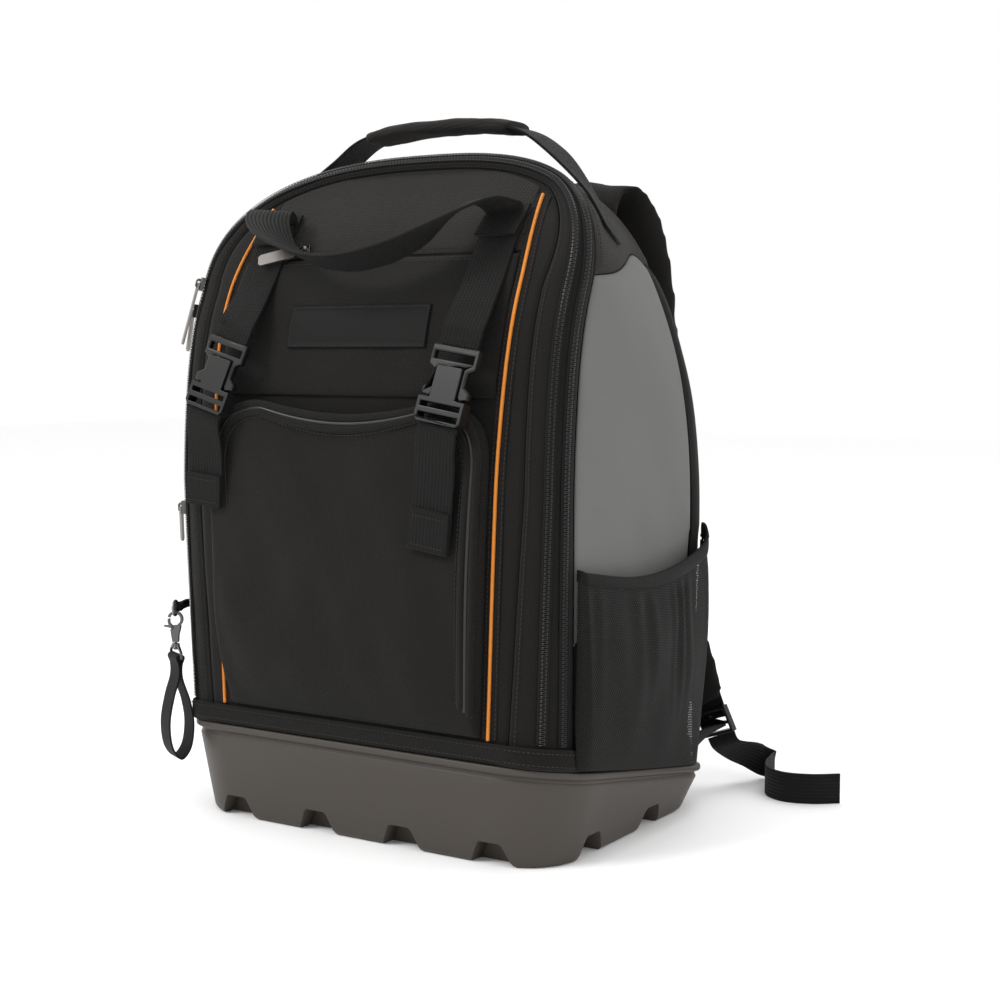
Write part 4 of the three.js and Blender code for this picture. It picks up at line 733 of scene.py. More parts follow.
# Main zips: two rows of coiled nylon teeth on woven tapes, sewn in round the front corner, one behind
# the other.
tape_cloth = surface_finish("zip_tape", (0.010, 0.0095, 0.009), 0.7, 0.6, threads=0.0008, depth=0.0002)
coil_nylon = surface_finish("zip_coil", (0.009, 0.0086, 0.0083), 0.32, 0.5, gloss=0.4)
for name, node, middle in (("zip_front", "main_zip_front", 0.44), ("zip_rear", "main_zip_rear", 0.72)):
    along = np.linspace(0.013, 0.987, 420) * 2
    rise = np.where(along <= 1, along, 2 - along)
    reach = np.minimum(8 / (math.pi * corner_radius(rise, skin(rise, 0.0)[:, 2])), 0.12)
    shares = np.array([-1.0, -0.96, -0.45, -0.3, 0.3, 0.45, 0.96, 1.0])
    heights = np.array([0.9, 1.7, 1.9, 1.5, 1.5, 1.9, 1.7, 0.9])
    tape = skin_out(along[:, None] + 0 * shares, middle + reach[:, None] * shares,
                    np.broadcast_to(heights, (len(along), len(heights))))
    dress(grid_piece(name + "_tape", tape), tape_cloth, [node])
    line = np.full(len(along), middle)
    centre = skin_out(along, line, 2.2)
    at = np.arange(0.6, lengths_along(centre)[-1], 1.5)
    mid, way, up, wide = frames_along(centre, skin_normal(along, line), at)
    turn = np.arange(len(at)) % 2 * 2 - 1
    points = []
    for share in (-1.0, -0.45, 0.45, 1.0):
        lift = 0.75 * (1 - share ** 2) + 0.1
        slant = way * (share * 0.25 * turn)[:, None]
        for a, b in ((0.52, 0), (0, 0.75), (-0.52, 0)):
            points.append(mid + wide * share * 2.2 + slant + way * a + up * (lift * (0.6 + b)))
    dress(small_bodies(name + "_teeth", points, 3), coil_nylon)


# Orange piping: a bias-cut tape sewn round a thin cord, with its narrow flange stitched down each front
# edge of the front face.
orange_cord = surface_finish("orange_piping", (0.70, 0.235, 0.035), 0.55, 0.25, threads=0.0009, slant=0.6,
                             gloss=0.2, depth=0.00025)


def piping_x(z):
    """How far the piping runs from the middle of the front at a height, by a short table."""
    return smooth_table(z, [98, 275, 428, 494], [127, 133, 138, 130])


def face_point(x, z, out):
    """A point over the front face: out is measured along the face's own normal."""
    slope = front_y(z + 0.5) - front_y(z - 0.5)
    size = np.sqrt(1 + slope ** 2)
    return np.stack([x + 0 * z, front_y(z) - out / size, z + out * slope / size], -1)


def tube(name, path, radius, sides=10, wide=None, flat=1.0):
    """A round or flattened section carried along a path in mm, closed at both ends."""
    way = unit(np.gradient(path, axis=0))
    wide = np.broadcast_to(np.array([1.0, 0, 0]) if wide is None else wide, path.shape)
    wide = unit(wide - way * (wide * way).sum(1, keepdims=True))
    thick = np.cross(way, wide)
    turn = np.arange(sides) / sides * 2 * math.pi
    ring = (wide[:, None] * np.cos(turn)[None, :, None] + thick[:, None] * flat * np.sin(turn)[None, :, None])
    return grid_piece(name, path[:, None] + ring * np.broadcast_to(radius, (len(path),))[:, None, None],
                      around=True, poles=(True, True))


for side_name, side in (("right", 1), ("left", -1)):
    z = np.linspace(96.5, 495, 160)
    cord = tube("orange_piping_" + side_name, face_point(side * piping_x(z), z, 2.2), 1.35)
    dress(cord, orange_cord, ["piping_" + side_name])
    flange_rows = [face_point(side * piping_x(z) + shift, z, out)
                   for shift, out in ((6.5, 0.7), (0.0, 1.3), (-6.5, 0.7))]
    flange = grid_piece("piping_flange_" + side_name, np.stack(flange_rows, 1), flip=True)
    dress(flange, black_cloth)
    normal = unit(face_point(0 * z, z, 1.0) - face_point(0 * z, z, 0.0))
    for k, shift in enumerate((-5.0, 5.0)):
        line = face_point(side * (piping_x(z) + shift), z, 0.9)
        stitches(f"piping_stitches_{side_name}_{k + 1}", line, normal)

# Front pocket: a cap of the black cloth whose face bellies out from a rounded edge, sewn to the front
# between the pipings, with a slack hollow under its dipped top edge.
POCKET = {"foot": 97.0, "top": 341.0, "sag": 9.0, "corner": 46.0, "gap": 7.0, "turn": 8.0, "stand": 12.4}


def face_half(z):
    """Half the width left for a pocket between the pipings."""
    return piping_x(np.array(z, float)) - POCKET["gap"]


def evenly_round(path, count):
    """count points at equal lengths along a closed path."""
    place = lengths_along(path)
    return at_lengths(path, place, np.linspace(0, place[-1], count, endpoint=False))


def pocket_outline(count):
    """The pocket's edge in (x, z): straight foot and sides, rounded upper corners and a sagging top."""
    foot, top, corner = POCKET["foot"], POCKET["top"], POCKET["corner"]
    t = np.linspace(0, 1, 40)[:, None]

    def bend(p, q, r):
        """A quadratic curve from p to r, pulled towards q."""
        p, q, r = (np.array(k, float) for k in (p, q, r))
        return (1 - t) ** 2 * p + 2 * t * (1 - t) * q + t ** 2 * r

    z = np.linspace(foot, top - corner, 60)
    wide, narrow = face_half(top), face_half(top - corner)
    right = np.stack([face_half(z), z], 1)
    over_right = bend((narrow, top - corner), (wide, top), (wide - corner, top))
    over = bend((wide - corner, top), (0, top - 2 * POCKET["sag"]), (corner - wide, top))
    over_left = bend((corner - wide, top), (-wide, top), (-narrow, top - corner))
    left = (right * (-1, 1))[::-1]
    path = np.concatenate([right, over_right[1:], over[1:], over_left[1:], left[1:], right[:1]])
    return evenly_round(path, count)


edge = pocket_outline(300)
pocket_mid = np.array([0.0, (POCKET["foot"] + POCKET["top"]) / 2])
arm = edge - pocket_mid
reach = np.linalg.norm(arm, axis=1)


def pocket_ring(inset, out):
    """The outline drawn in towards the pocket's middle by inset mm, lifted out from the face."""
    flat = pocket_mid + arm * (np.maximum(reach - inset, 0) / reach)[:, None]
    return face_point(flat[:, 0], flat[:, 1], out)


rows = [pocket_ring(0.6, 0.4 + 0 * reach)]
for turn in np.radians(np.linspace(0, 90, 9)[1:]):
    out = 1.0 + POCKET["stand"] * math.sin(turn)
    rows.append(pocket_ring(POCKET["turn"] * (1 - math.cos(turn)), out + 0 * reach))
inner_edge = (reach - POCKET["turn"]) / reach
for share in np.linspace(1, 0.02, 46)[1:]:
    flat = pocket_mid + arm * (inner_edge * share)[:, None]
    rows.append(face_point(flat[:, 0], flat[:, 1], 1.0 + POCKET["stand"] + 4.2 * (1 - share ** 2)))
pocket_points = np.stack(rows)
px, pz = pocket_points[..., 0], pocket_points[..., 2]
inwards = np.concatenate([np.linspace(0, 0.1, 9), np.linspace(0.1, 1, 45)])[:, None]
pucker = 2.1 * folds(px, pz, 120, 18) + 0.6 * folds(px, pz, 48, 20, (1.0, 1.6))
face_behind = front_y(pz)
fullness = between(0.3, 1.0, np.clip((pz - POCKET["foot"]) / 42, 0, 1) ** 0.6)
pocket_points[..., 1] = between(face_behind, pocket_points[..., 1], fullness)
pocket_points[..., 1] -= pucker * np.clip(inwards * 6, 0, 1)
level = np.arange(len(pocket_points))[:, None]
overhang = np.clip((level - 1.5) / 3, 0, 1) * np.clip((54 - level) / 44, 0, 1) ** 1.5
overhang = overhang * np.sin(math.pi * np.clip((pz - 112) / (326 - 112), 0, 1)) ** 0.5
pocket_points[..., 0] += overhang * np.where(px < 0, -10.0, 2.5) * np.clip(np.abs(px) / 90, 0, 1)
pocket_uv = np.stack([px, pz], -1) * MM
dress(grid_piece("front_pocket_cloth", pocket_points, pocket_uv, around=True, poles=(False, True), flip=True),
      black_cloth, ["front_pocket"])

# Pocket zip: two rolled cloth lips with a nylon coil between them, sewn in over the pocket's top edge
# and down one side.
start = int(np.argmin(np.abs(edge[:, 1] - 112) + np.where(edge[:, 0] > 0, 0, 1e6)))
stop = int(np.argmin(np.abs(edge[:, 1] - 262) + np.where(edge[:, 0] < 0, 0, 1e6)))


def pocket_path(inset, out):
    """The stretch of a pocket ring that the zip follows."""
    return pocket_ring(inset, out + 0 * reach)[start:stop + 1]


def resampled(path, pitch):
    """A path's points again, at equal lengths of about pitch."""
    place = lengths_along(path)
    return at_lengths(path, place, np.linspace(0, place[-1], max(int(place[-1] / pitch), 2)))


facing_front = np.array([0, -1.0, 0])
lips = [tube("lip", resampled(pocket_path(inset, out), 3.0), radius, 12, wide=facing_front, flat=1.35)
        for inset, out, radius in ((3.6, 13.6, 2.3), (12.0, 14.8, 2.4))]
dress(joined_mesh("pocket_zip_lips", lips), black_cloth, ["front_pocket_zip"])
coil_path = resampled(pocket_path(7.8, 14.4), 1.5)
coil_radius = 1.5 + 0.35 * (np.arange(len(coil_path)) % 2)
dress(tube("pocket_zip_coil", coil_path, coil_radius, 8, wide=facing_front), coil_nylon)
line = resampled(pocket_path(16.5, 16.0), 3.0)
stitches("pocket_stitches_1", line, np.tile(facing_front, (len(line), 1)))


# Upper pocket and crown: a flat pocket of black cloth between the pipings, a seam over it, and a panel
# of the slanted charcoal cloth above, sewn in up to the arch.
def face_patch(name, half, foot, top, out, rows, material, nodes):
    """A flat panel over the front face: half(z) is half its width, and seeded folds lift it."""
    z, u = grid((foot, top, rows), (0, 1, 110))
    x = between(-half(z), half(z), u)
    edge = np.minimum(half(z) - np.abs(x), np.minimum(z - foot, top - z))
    lift = out + 0.5 * folds(x, z, 70.0) * np.clip(edge / 14, 0, 1) + edge_roll(edge, 0.8, 3.0)
    points = face_point(x, z, lift)
    piece = grid_piece(name, points, np.stack([x, lengths_along(points[:, 0])[:, None] + 0 * x], -1) * MM)
    dress(thickened(piece, 1.4), material, nodes)


def crown_half(z):
    """Half width of the crown panel: to the piping, and under the arch where that is nearer."""
    arch = skin(np.linspace(0.5, 0.985, 200), 0.0)
    return np.minimum(piping_x(z) - 6.5, np.interp(z, arch[:, 2], arch[:, 0]) - 6.0)


face_patch("upper_pocket_cloth", face_half, 346, 450, 3.2, 60, black_cloth, ["upper_pocket"])
face_patch("crown_cloth", crown_half, 453, 519, 1.7, 50, top_cloth, [])
for k, (height, out) in enumerate(((446.5, 3.6), (456.5, 2.1))):
    x, z = np.linspace(-126, 126, 200), np.full(200, height)
    line = face_point(x, z, out)
    stitches(f"flap_stitches_{k + 1}", line, np.tile(unit(line[:1] - face_point(x, z, 0.0)[:1]), (200, 1)))

# Patch: a bare plate of moulded rubber with a raised edge, sewn down to the upper pocket by one row of
# stitches all round.
PATCH = {"half": 66.0, "rise": 15.8, "middle": 397.5}
patch_rubber = surface_finish("patch_rubber", (0.0062, 0.006, 0.0058), 0.6, 0.5, grain=0.0001)
pv, pu = grid((-1, 1, 44), (-1, 1, 120))
patch_edge = np.minimum((1 - np.abs(pu)) * PATCH["half"], (1 - np.abs(pv)) * PATCH["rise"])
lift = 4.7 + 0.5 * np.clip(patch_edge / 0.8, 0, 1) - 0.55 * (1 / (1 + np.exp(-(patch_edge - 2.6) * 4)))
patch_points = face_point(pu * PATCH["half"], PATCH["middle"] + pv * PATCH["rise"], lift)
dress(thickened(grid_piece("bare_patch", patch_points), 1.3), patch_rubber, ["name_patch"])
stitch_x = (PATCH["half"] - 1.6) * np.array([-1, 1, 1, -1, -1])
stitch_z = PATCH["middle"] + (PATCH["rise"] - 1.5) * np.array([-1, -1, 1, 1, -1])
t = np.linspace(0, 4, 400)
line = face_point(np.interp(t, range(5), stitch_x), np.interp(t, range(5), stitch_z), 5.1)
stitches("patch_stitches", line, np.tile([0, -0.98, 0.2], (400, 1)), pitch=3.0, length=2.1)


# Front straps: ribbed webbing with rounded selvedges, sewn under the crown's seam, cut at the buckles,
# with free tails that are folded back and sewn at their ends.
webbing_cloth = surface_finish("webbing", (0.0068, 0.0063, 0.0059), 0.62, 0.7, threads=0.0015, slant=1.0,
                               depth=0.0005, sheen=0.03)


def spline(points, count):
    """Centripetal Catmull-Rom curve through points: cubic pieces with chord-root spacing."""
    p = np.asarray(points, float)
    p = np.concatenate([[2 * p[0] - p[1]], p, [2 * p[-1] - p[-2]]])
    t = np.linspace(0, len(points) - 1, count)
    i = np.minimum(t.astype(int), len(points) - 2)
    w = (t - i)[:, None]
    a, b, c, d = p[i], p[i + 1], p[i + 2], p[i + 3]
    gap = [np.maximum(np.linalg.norm(m - n, axis=1, keepdims=True) ** 0.5, 1e-4)
           for m, n in ((b, a), (c, b), (d, c))]
    t1 = ((b - a) / gap[0] - (c - a) / (gap[0] + gap[1]) + (c - b) / gap[1]) * gap[1]
    t2 = ((c - b) / gap[1] - (d - b) / (gap[1] + gap[2]) + (d - c) / gap[2]) * gap[1]
    return b + t1 * w + (3 * (c - b) - 2 * t1 - t2) * w ** 2 + (2 * (b - c) + t1 + t2) * w ** 3


def strap(name, points, across, width, thickness, count=160, nodes=(), wave=0.0):
    """A flat section with rounded selvedges carried along a route; across gives the width's direction."""
    path, wide = spline(points, count), spline(across, count)
    way = unit(np.gradient(path, axis=0))
    wide = unit(wide - way * (wide * way).sum(1, keepdims=True))
    thick = np.cross(way, wide)
    section = []
    for side in (1, -1):
        section += [(side * (-1 + k / 6), side) for k in range(13)]
        section += [(side * (1 + 0.03 * math.cos(turn)), side * math.sin(turn))
                    for turn in np.radians([60, 20, -20, -60])]
    section = np.array(section)
    roll = wave * folds(np.arange(count)[:, None] * 2.0, section[None, :, 0] * 20, 40)
    ring = (path[:, None] + wide[:, None] * section[None, :, 0, None] * width / 2
            + thick[:, None] * (section[None, :, 1] * thickness / 2 + roll)[..., None])
    length = lengths_along(path)
    uv = np.stack([section[None, :, 0] * width / 2 + 0 * length[:, None],
                   length[:, None] + 0 * section[None, :, 0]], -1) * MM
    piece = grid_piece(name, ring, uv, around=True, poles=(True, True))
    dress(piece, webbing_cloth, list(nodes))
    return piece, path, wide, thick, length[-1]


def face_at(x, z, out):
    """One point over the front face."""
    return face_point(np.array([float(x)]), np.array([float(z)]), out)[0]


STRAP_OUT = 0.9 + 2.0 + 0.9 + 1.1
WEB = (34, 2.2)
BUCKLES = {
    "right": ((107, -145, 383), (98, -158.5, 327), (85, -153.2, 234), 1),
    "left": ((-109, -145, 388), (-124, -158.5, 334), (-131, -153.2, 258), -1),
}
for side_name, (top, foot, tail, side) in BUCKLES.items():
    top, foot, tail = (np.array(p, float) for p in (top, foot, tail))
    up = unit(top - foot)
    level = unit(np.array([1.0, 0, 0]) - up * up[0])
    route = [face_at(side * 108, 486, STRAP_OUT), face_at(side * 108, 464.4, STRAP_OUT),
             face_at(side * 108, 431.3, STRAP_OUT + 0.6), top + up * 14, top + up * 7, top + up * 0.3]
    strap("front_webbing_" + side_name, route, [(1, 0, 0)] * 3 + [level] * 3, *WEB,
          nodes=["front_strap_" + side_name], wave=0.15)
    start_point = foot - up * 0.3
    route = [start_point, start_point - up * 6, start_point * 0.5 + tail * 0.5, tail + (0, 0.4, 0)]
    across = [level, level, (1, 0, 0), (1, 0, 0)]
    _, path, wide, thick, _ = strap("tail_webbing_" + side_name, route, across, *WEB,
                                    nodes=["strap_tail_" + side_name], wave=0.2)
    sign = 1 if thick[-1][1] < 0 else -1
    hem_path = path[-36:] + thick[-36:] * sign * 2.3
    strap("tail_hem_" + side_name, hem_path[[0, 12, 24, -1]], [wide[-1]] * 4, 33.4, 2.0, 24)
    for back in (6, 30):
        out = thick[-back] * sign
        ends = np.stack([path[-back] - wide[-1] * 15, path[-back] + wide[-1] * 15]) + out * 3.5
        stitches(f"tail_stitches_{side_name}_{back}", resampled(ends, 2.0), np.tile(out, (15, 1)), 2.6, 1.9)


# Buckles and small fittings: moulded black plastic and cast metal, threaded on the webbing and the zips'
# coils. They keep the form of their solids, with every edge rounded.
buckle_plastic = surface_finish("buckle_plastic", (0.0055, 0.0053, 0.0051), 0.33, 0.4, grain=0.00003,
                                gloss=0.35)
pull_metal = surface_finish("pull_metal", (0.24, 0.225, 0.21), 0.34, 0.4, metal=1.0, patch=60)
dark_metal = surface_finish("dark_metal", (0.10, 0.098, 0.095), 0.3, 0.5, metal=1.0, patch=60)


def rounded_copy(node, width, material, body="pack", segments=2):
    """A copy of a hard node with its doubles merged and a small bevel on its edges."""
    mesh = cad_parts[node].data.copy()
    piece = bpy.data.objects.new(node + "_finish", mesh)
    bpy.context.collection.objects.link(piece)
    maker = bmesh.new()
    maker.from_mesh(mesh)
    bmesh.ops.remove_doubles(maker, verts=maker.verts, dist=1e-6)
    bmesh.ops.dissolve_limit(maker, angle_limit=math.radians(1), verts=maker.verts, edges=maker.edges)
    maker.to_mesh(mesh)
    maker.free()
    rounded_edges(piece, width, segments, 30)
    shaded_smooth(piece).data.set_sharp_from_angle(angle=math.radians(50))
    dress(piece, material, [node], body)


for side_name in ("right", "left"):
    rounded_copy("buckle_plug_" + side_name, 1.1, buckle_plastic)
    rounded_copy("buckle_socket_" + side_name, 1.6, buckle_plastic, segments=3)
    rounded_copy("ladder_lock_" + side_name, 0.8, buckle_plastic)
for name in ("flap", "upper_zip", "lower_zip", "side_zip"):
    rounded_copy(name + "_slider", 0.6, dark_metal)
for zip_name, width in (("flap", 0.6), ("upper_zip", 0.5), ("lower_zip", 0.5), ("side_zip", 0.5)):
    body = zip_name.removesuffix("_zip") + "_pull_tab"
    rounded_copy(zip_name + "_pull", width, pull_metal, body)
rounded_copy("snap_hook", 0.4, dark_metal)
rounded_copy("snap_hook_gate", 0.3, dark_metal, "hook_gate")
rounded_copy("swivel_eye", 0.5, dark_metal)


# Carry loop: one length of the webbing with its ends sewn on the tops of both front straps, folded
# forwards and hanging in a curve.
def mirrored_back(rows):
    """A half route's rows again in reverse, on the other side."""
    return [(-p[0], p[1], p[2]) for p in rows[::-1]]


LOOP_OUT = STRAP_OUT + 2.2 + 2.6
half_loop = [face_at(108, 460, LOOP_OUT), face_at(108, 478, LOOP_OUT + 0.4), (101, -103, 491),
             (88, -124, 480), (64, -138, 462), (32, -145, 450)]
half_wide = [(1, 0, 0), (1, 0, 0), (0.95, -0.25, 0.05), (0.75, -0.6, 0.15), (0.3, -0.9, 0.25),
             (0.08, -0.95, 0.3)]
strap("carry_webbing", half_loop + [(0, -147, 446)] + mirrored_back(half_loop),
      half_wide + [(0, -0.95, 0.3)] + mirrored_back(half_wide), *WEB, 260, nodes=["carry_loop"], wave=0.2)

# Grab handle: the same webbing sewn down on the crown at both ends, through a padded sleeve of the
# charcoal cloth, which a row of stitches closes at each end.
handle_along = (0.66, 0.70, 0.735)
handle_end = [skin_out(np.array(a), np.array(1.24), 2.0) for a in handle_along]
handle_end[2] = handle_end[2] + (0, 0, 2)
handle_half = handle_end + [(101, -4, 538), (76, -4, 553), (38, -4, 559.5)]
handle_wide = [unit(skin(np.array(a), np.array(1.34)) - skin(np.array(a), np.array(1.14)))
               for a in handle_along] + [(0, 1, 0)] * 3
_, handle_path, _, _, _ = strap("handle_webbing", handle_half + [(0, -4, 560.5)] + mirrored_back(handle_half),
                                handle_wide + [(0, 1, 0)] + mirrored_back(handle_wide), *WEB, 260,
                                nodes=["grab_handle"])
grip_path = resampled(handle_path[np.abs(handle_path[:, 0]) < 69.5], 2.0)
way = unit(np.gradient(grip_path, axis=0))
wide = np.tile([0, 1.0, 0], (len(grip_path), 1))
thick = np.cross(way, wide)
thick *= np.sign(thick[:, 2:3])
turn = np.linspace(0, 2 * math.pi, 40, endpoint=False)
ends = np.minimum(np.arange(len(grip_path)), np.arange(len(grip_path))[::-1])
ease = np.clip(ends / 3.0, 0, 1)[:, None] ** 0.5
bulk = 0.86 + 0.14 * ease


def rounded_power(wave, power):
    """A sine or cosine raised to a power with its sign kept, which squares off a round section."""
    return np.sign(wave) * np.abs(wave) ** power


section_x, section_z = rounded_power(np.cos(turn), 0.6), rounded_power(np.sin(turn), 0.75)
crease = 0.35 * folds(np.arange(len(grip_path))[:, None] * 2.0, turn[None] * 14, 26, 22)
grip_ring = (grip_path[:, None] + wide[:, None] * (section_x[None, :, None] * 20 * bulk[..., None])
             + thick[:, None] * ((section_z[None] * 5.6 * bulk) + crease * ease)[..., None])
grip = grid_piece("grip_sleeve", grip_ring, around=True, poles=(True, True))
faces_outwards(grip)
dress(grip, top_cloth, ["handle_grip"])
for end in (5, -6):
    ring = np.concatenate([grip_ring[end], grip_ring[end][:1]])
    normal = unit(ring - grip_path[end])
    stitches(f"grip_stitches_{abs(end)}", ring + normal * 0.2, normal, pitch=3.0, length=2.1)

# Side pockets: fine knitted net gathered on an elastic binding, with its foot sewn over the band and a
# strip of black cloth behind its rear edge.
net_cloth = surface_finish("net_cloth", (0.0085, 0.008, 0.0075), 0.7, 0.6, sheen=0.03, holes=(0.0024, 0.9))


def side_at(side, z, around, out):
    """Finds the skin's point at a height by a few steps of linear search, then lifts it outwards."""
    rise = np.full(np.broadcast(z, around).shape, 0.2)
    for _ in range(8):
        low = skin(rise, around)[..., 2]
        high = skin(rise + 0.02, around)[..., 2]
        rise = np.clip(rise + 0.02 * (z - low) / (high - low), 0, 0.56)
    return skin_out(rise if side > 0 else 2 - rise, around, out)


def net_points(side, bulge, u, v, lift):
    """Between its foot and rim (v) and round the side (u): two sine bellies, sine gathers, and folds."""
    around = between(0.85 + 0.08 * v, 2.25, u)
    foot = rim_z(skin(np.full(around.shape, 0.05), around)[..., 1]) + 2
    z = between(foot, smooth_table(around, [0.9, 1.4, 1.8, 2.25], [224, 211, 216, 240]), v)
    belly = np.maximum(np.sin(math.pi * u), 0) ** 0.6
    belly = belly * np.maximum(np.sin(math.pi * (0.12 + 0.74 * v)), 0) ** 0.7
    edge = between(5.0, 2.5, np.clip(v * 4, 0, 1))
    gathers = 1.5 * np.sin(u * 2 * math.pi * 13 + 2.6 * np.sin(u * 11) + 1.4 * v)
    gathers = gathers * (0.55 + 0.45 * np.sin(u * 23)) * np.sin(math.pi * u) ** 0.5
    gathers = gathers * np.clip(v * 1.5 - 0.3, 0, 1) * np.clip((0.94 - v) * 14, 0, 1)
    slack = 1.5 * folds(u * 200, v * 140, 70, 20, (0.8, 1.6))
    slack = slack * np.sin(math.pi * u) * np.sin(math.pi * np.clip(v, 0, 1))
    return side_at(side, z, around, edge + bulge * belly + lift + gathers + slack + 1.4)


def net_strip(side, bulge, v_range, u_range, lift):
    """The net's surface, or a stretch of it with the same folds, by the same seed each time."""
    chance.seed(11)
    v, u = grid(v_range, u_range)
    return net_points(side, bulge, u, v, lift)


for side_name, side, bulge in (("right", 1, 20), ("left", -1, 26)):
    points = net_strip(side, bulge, (0, 1, 60), (0, 1, 200), 0.0)
    net = grid_piece("net_pocket_" + side_name, points, flip=side < 0)
    dress(net, net_cloth, ["side_pocket_" + side_name])
    width = np.linalg.norm(np.diff(points, axis=1), axis=2).sum(1).max() * MM
    height = np.linalg.norm(np.diff(points, axis=0), axis=2).sum(0).max() * MM
    strip = net_strip(side, bulge, (0.0, 0.93, 50), (0.84, 1.0, 40), -1.0)
    dress(grid_piece("net_facing_" + side_name, strip, flip=side < 0), black_cloth)
    rim_v, rim_u = (0.94, 1.0, 9), (0.0, 1.0, 200)
    roll = np.sin(np.linspace(0, math.pi, 9))[:, None] ** 0.5
    out = net_strip(side, bulge, rim_v, rim_u, 0.9 + 0.9 * roll)
    v, u = grid(rim_v, rim_u)
    back = net_points(side, bulge, u, v, -0.9 - 0.5 * roll)[::-1]
    binding = grid_piece("net_binding_" + side_name, np.concatenate([out, back, out[:1]]), flip=side < 0)
    dress(binding, webbing_cloth, ["pocket_binding_" + side_name])


# Shoulder straps and back pads: foam in cloth, sewn shut and blown up a little by a cloth simulation. A
# strip of webbing is sewn in at each shoulder strap's foot.
def inflate(name, rows, material, nodes, limit):
    """A closed form in mm is remeshed, blown up by pressure as cloth, its travel capped, and smoothed."""
    piece = grid_piece(name, rows, around=True, poles=(True, True))
    faces_outwards(piece)
    remesh = piece.modifiers.new("remesh", "REMESH")
    remesh.mode = "VOXEL"
    remesh.voxel_size = 5.0 * MM
    apply_modifiers(piece)

    def places():
        """Where the piece's vertices are now, a row for each."""
        flat = np.empty(len(piece.data.vertices) * 3)
        piece.data.vertices.foreach_get("co", flat)
        return flat.reshape(-1, 3)

    rest = places()
    cloth = piece.modifiers.new("cloth", "CLOTH")
    cloth.settings.use_pressure = True
    cloth.settings.uniform_pressure_force = 3.0
    cloth.settings.quality = 4
    cloth.settings.effector_weights.gravity = 0.0
    cloth.settings.tension_stiffness = 25
    cloth.settings.compression_stiffness = 25
    cloth.settings.shear_stiffness = 15
    cloth.collision_settings.use_collision = False
    for step in range(1, 15):
        bpy.context.scene.frame_set(step)
    apply_modifiers(piece)
    bpy.context.scene.frame_set(1)
    travel = places() - rest
    size = np.linalg.norm(travel, axis=1, keepdims=True)
    travel *= np.minimum(1, limit * MM / np.maximum(size, 1e-9))
    piece.data.vertices.foreach_set("co", (rest + travel).ravel())
    piece.data.update()
    soften = piece.modifiers.new("soften", "SMOOTH")
    soften.iterations = 12
    soften.factor = 0.5
    finer = piece.modifiers.new("finer", "SUBSURF")
    finer.levels = 1
    finer.render_levels = 1
    apply_modifiers(piece)
    layer = piece.data.uv_layers[0] if piece.data.uv_layers else piece.data.uv_layers.new(name="cloth")
    corner = np.empty(len(piece.data.loops), np.int32)
    piece.data.loops.foreach_get("vertex_index", corner)
    layer.data.foreach_set("uv", places()[corner][:, [0, 2]].ravel())
    dress(shaded_smooth(piece), material, nodes)


SHOULDER_ROUTE = [(60, 121.8, 468), (60, 120.4, 496), (62, 131, 516), (69, 146, 519), (79, 156, 502),
                  (93, 158, 458), (105, 151, 388), (110, 146, 310), (113, 145, 235), (124, 149, 165),
                  (144, 156, 112), (156, 159.7, 89), (162.3, 161.9, 72.2)]
SHOULDER_WIDE = [(1, 0, -0.1), (1, 0, -0.1), (1, 0, -0.15), (0.97, 0.02, -0.25), (0.94, 0.04, -0.33),
                 (0.95, 0.04, -0.3), (0.98, 0.06, -0.15), (1, 0.06, -0.05), (1, 0.06, 0.05), (0.97, 0.1, 0.2),
                 (0.88, 0.15, 0.42), (0.86, 0.12, 0.38), (0.9, 0.1, 0.36)]
PAD_FOOT = [(152.5, 158.9, 98), (158.6, 160.6, 84), (162.9, 162.0, 71), (164.9, 162.8, 64.5)]
PAD_FOOT_WIDE = [(0.86, 0.12, 0.4), (0.88, 0.1, 0.37), (0.9, 0.1, 0.36), (0.9, 0.1, 0.36)]
NARROW_WEB = (25, 1.8)


def padded_rings(path, wide, width, thickness):
    """Flattened superellipse sections along a path: full thickness, rounded edges."""
    way = unit(np.gradient(path, axis=0))
    wide = unit(wide - way * (wide * way).sum(1, keepdims=True))
    thick = np.cross(way, wide)
    turn = np.linspace(0, 2 * math.pi, 28, endpoint=False)
    a, b = rounded_power(np.cos(turn), 0.55), rounded_power(np.sin(turn), 0.9)
    return (path[:, None] + wide[:, None] * (a[None, :] * width[:, None] / 2)[..., None]
            + thick[:, None] * (b[None, :] * thickness[:, None] / 2)[..., None])


for side_name, side in (("right", 1), ("left", -1)):
    mirror = np.array([side, 1, 1])
    path, wide = spline(SHOULDER_ROUTE, 150) * mirror, spline(SHOULDER_WIDE, 150) * mirror
    t = np.linspace(0, 1, 150)
    width = between(64, 28, np.clip((t - 0.72) / 0.28, 0, 1) ** 1.5)
    bulk = 10.5 * np.clip(np.minimum(t, 1 - t) * 30, 0.35, 1)
    inflate("shoulder_pad_" + side_name, padded_rings(path, wide, width, bulk), black_cloth,
            ["shoulder_strap_" + side_name], limit=2.5)
    strap("pad_webbing_" + side_name, PAD_FOOT * mirror, PAD_FOOT_WIDE * mirror, *NARROW_WEB, 50)


def pad_form(corners):
    """A cushion against the back: its outline is drawn in at the front face in a quarter-round edge."""
    flat = evenly_round(np.array(corners + corners[:1], float), 90)
    arm = flat - flat.mean(0)
    size = np.linalg.norm(arm, axis=1, keepdims=True)
    stack = []
    for inset, out in ((3.0, 0.9), (0.8, 2.2), (0.2, 5.0), (2.0, 8.0), (6.0, 10.6), (13.0, 11.6),
                       (40.0, 12.0)):
        p = flat.mean(0) + arm * np.maximum(1 - inset / size, 0.05)
        stack.append(np.stack([p[:, 0], back_y(p[:, 1]) + out, p[:, 1]], 1))
    return np.stack(stack)


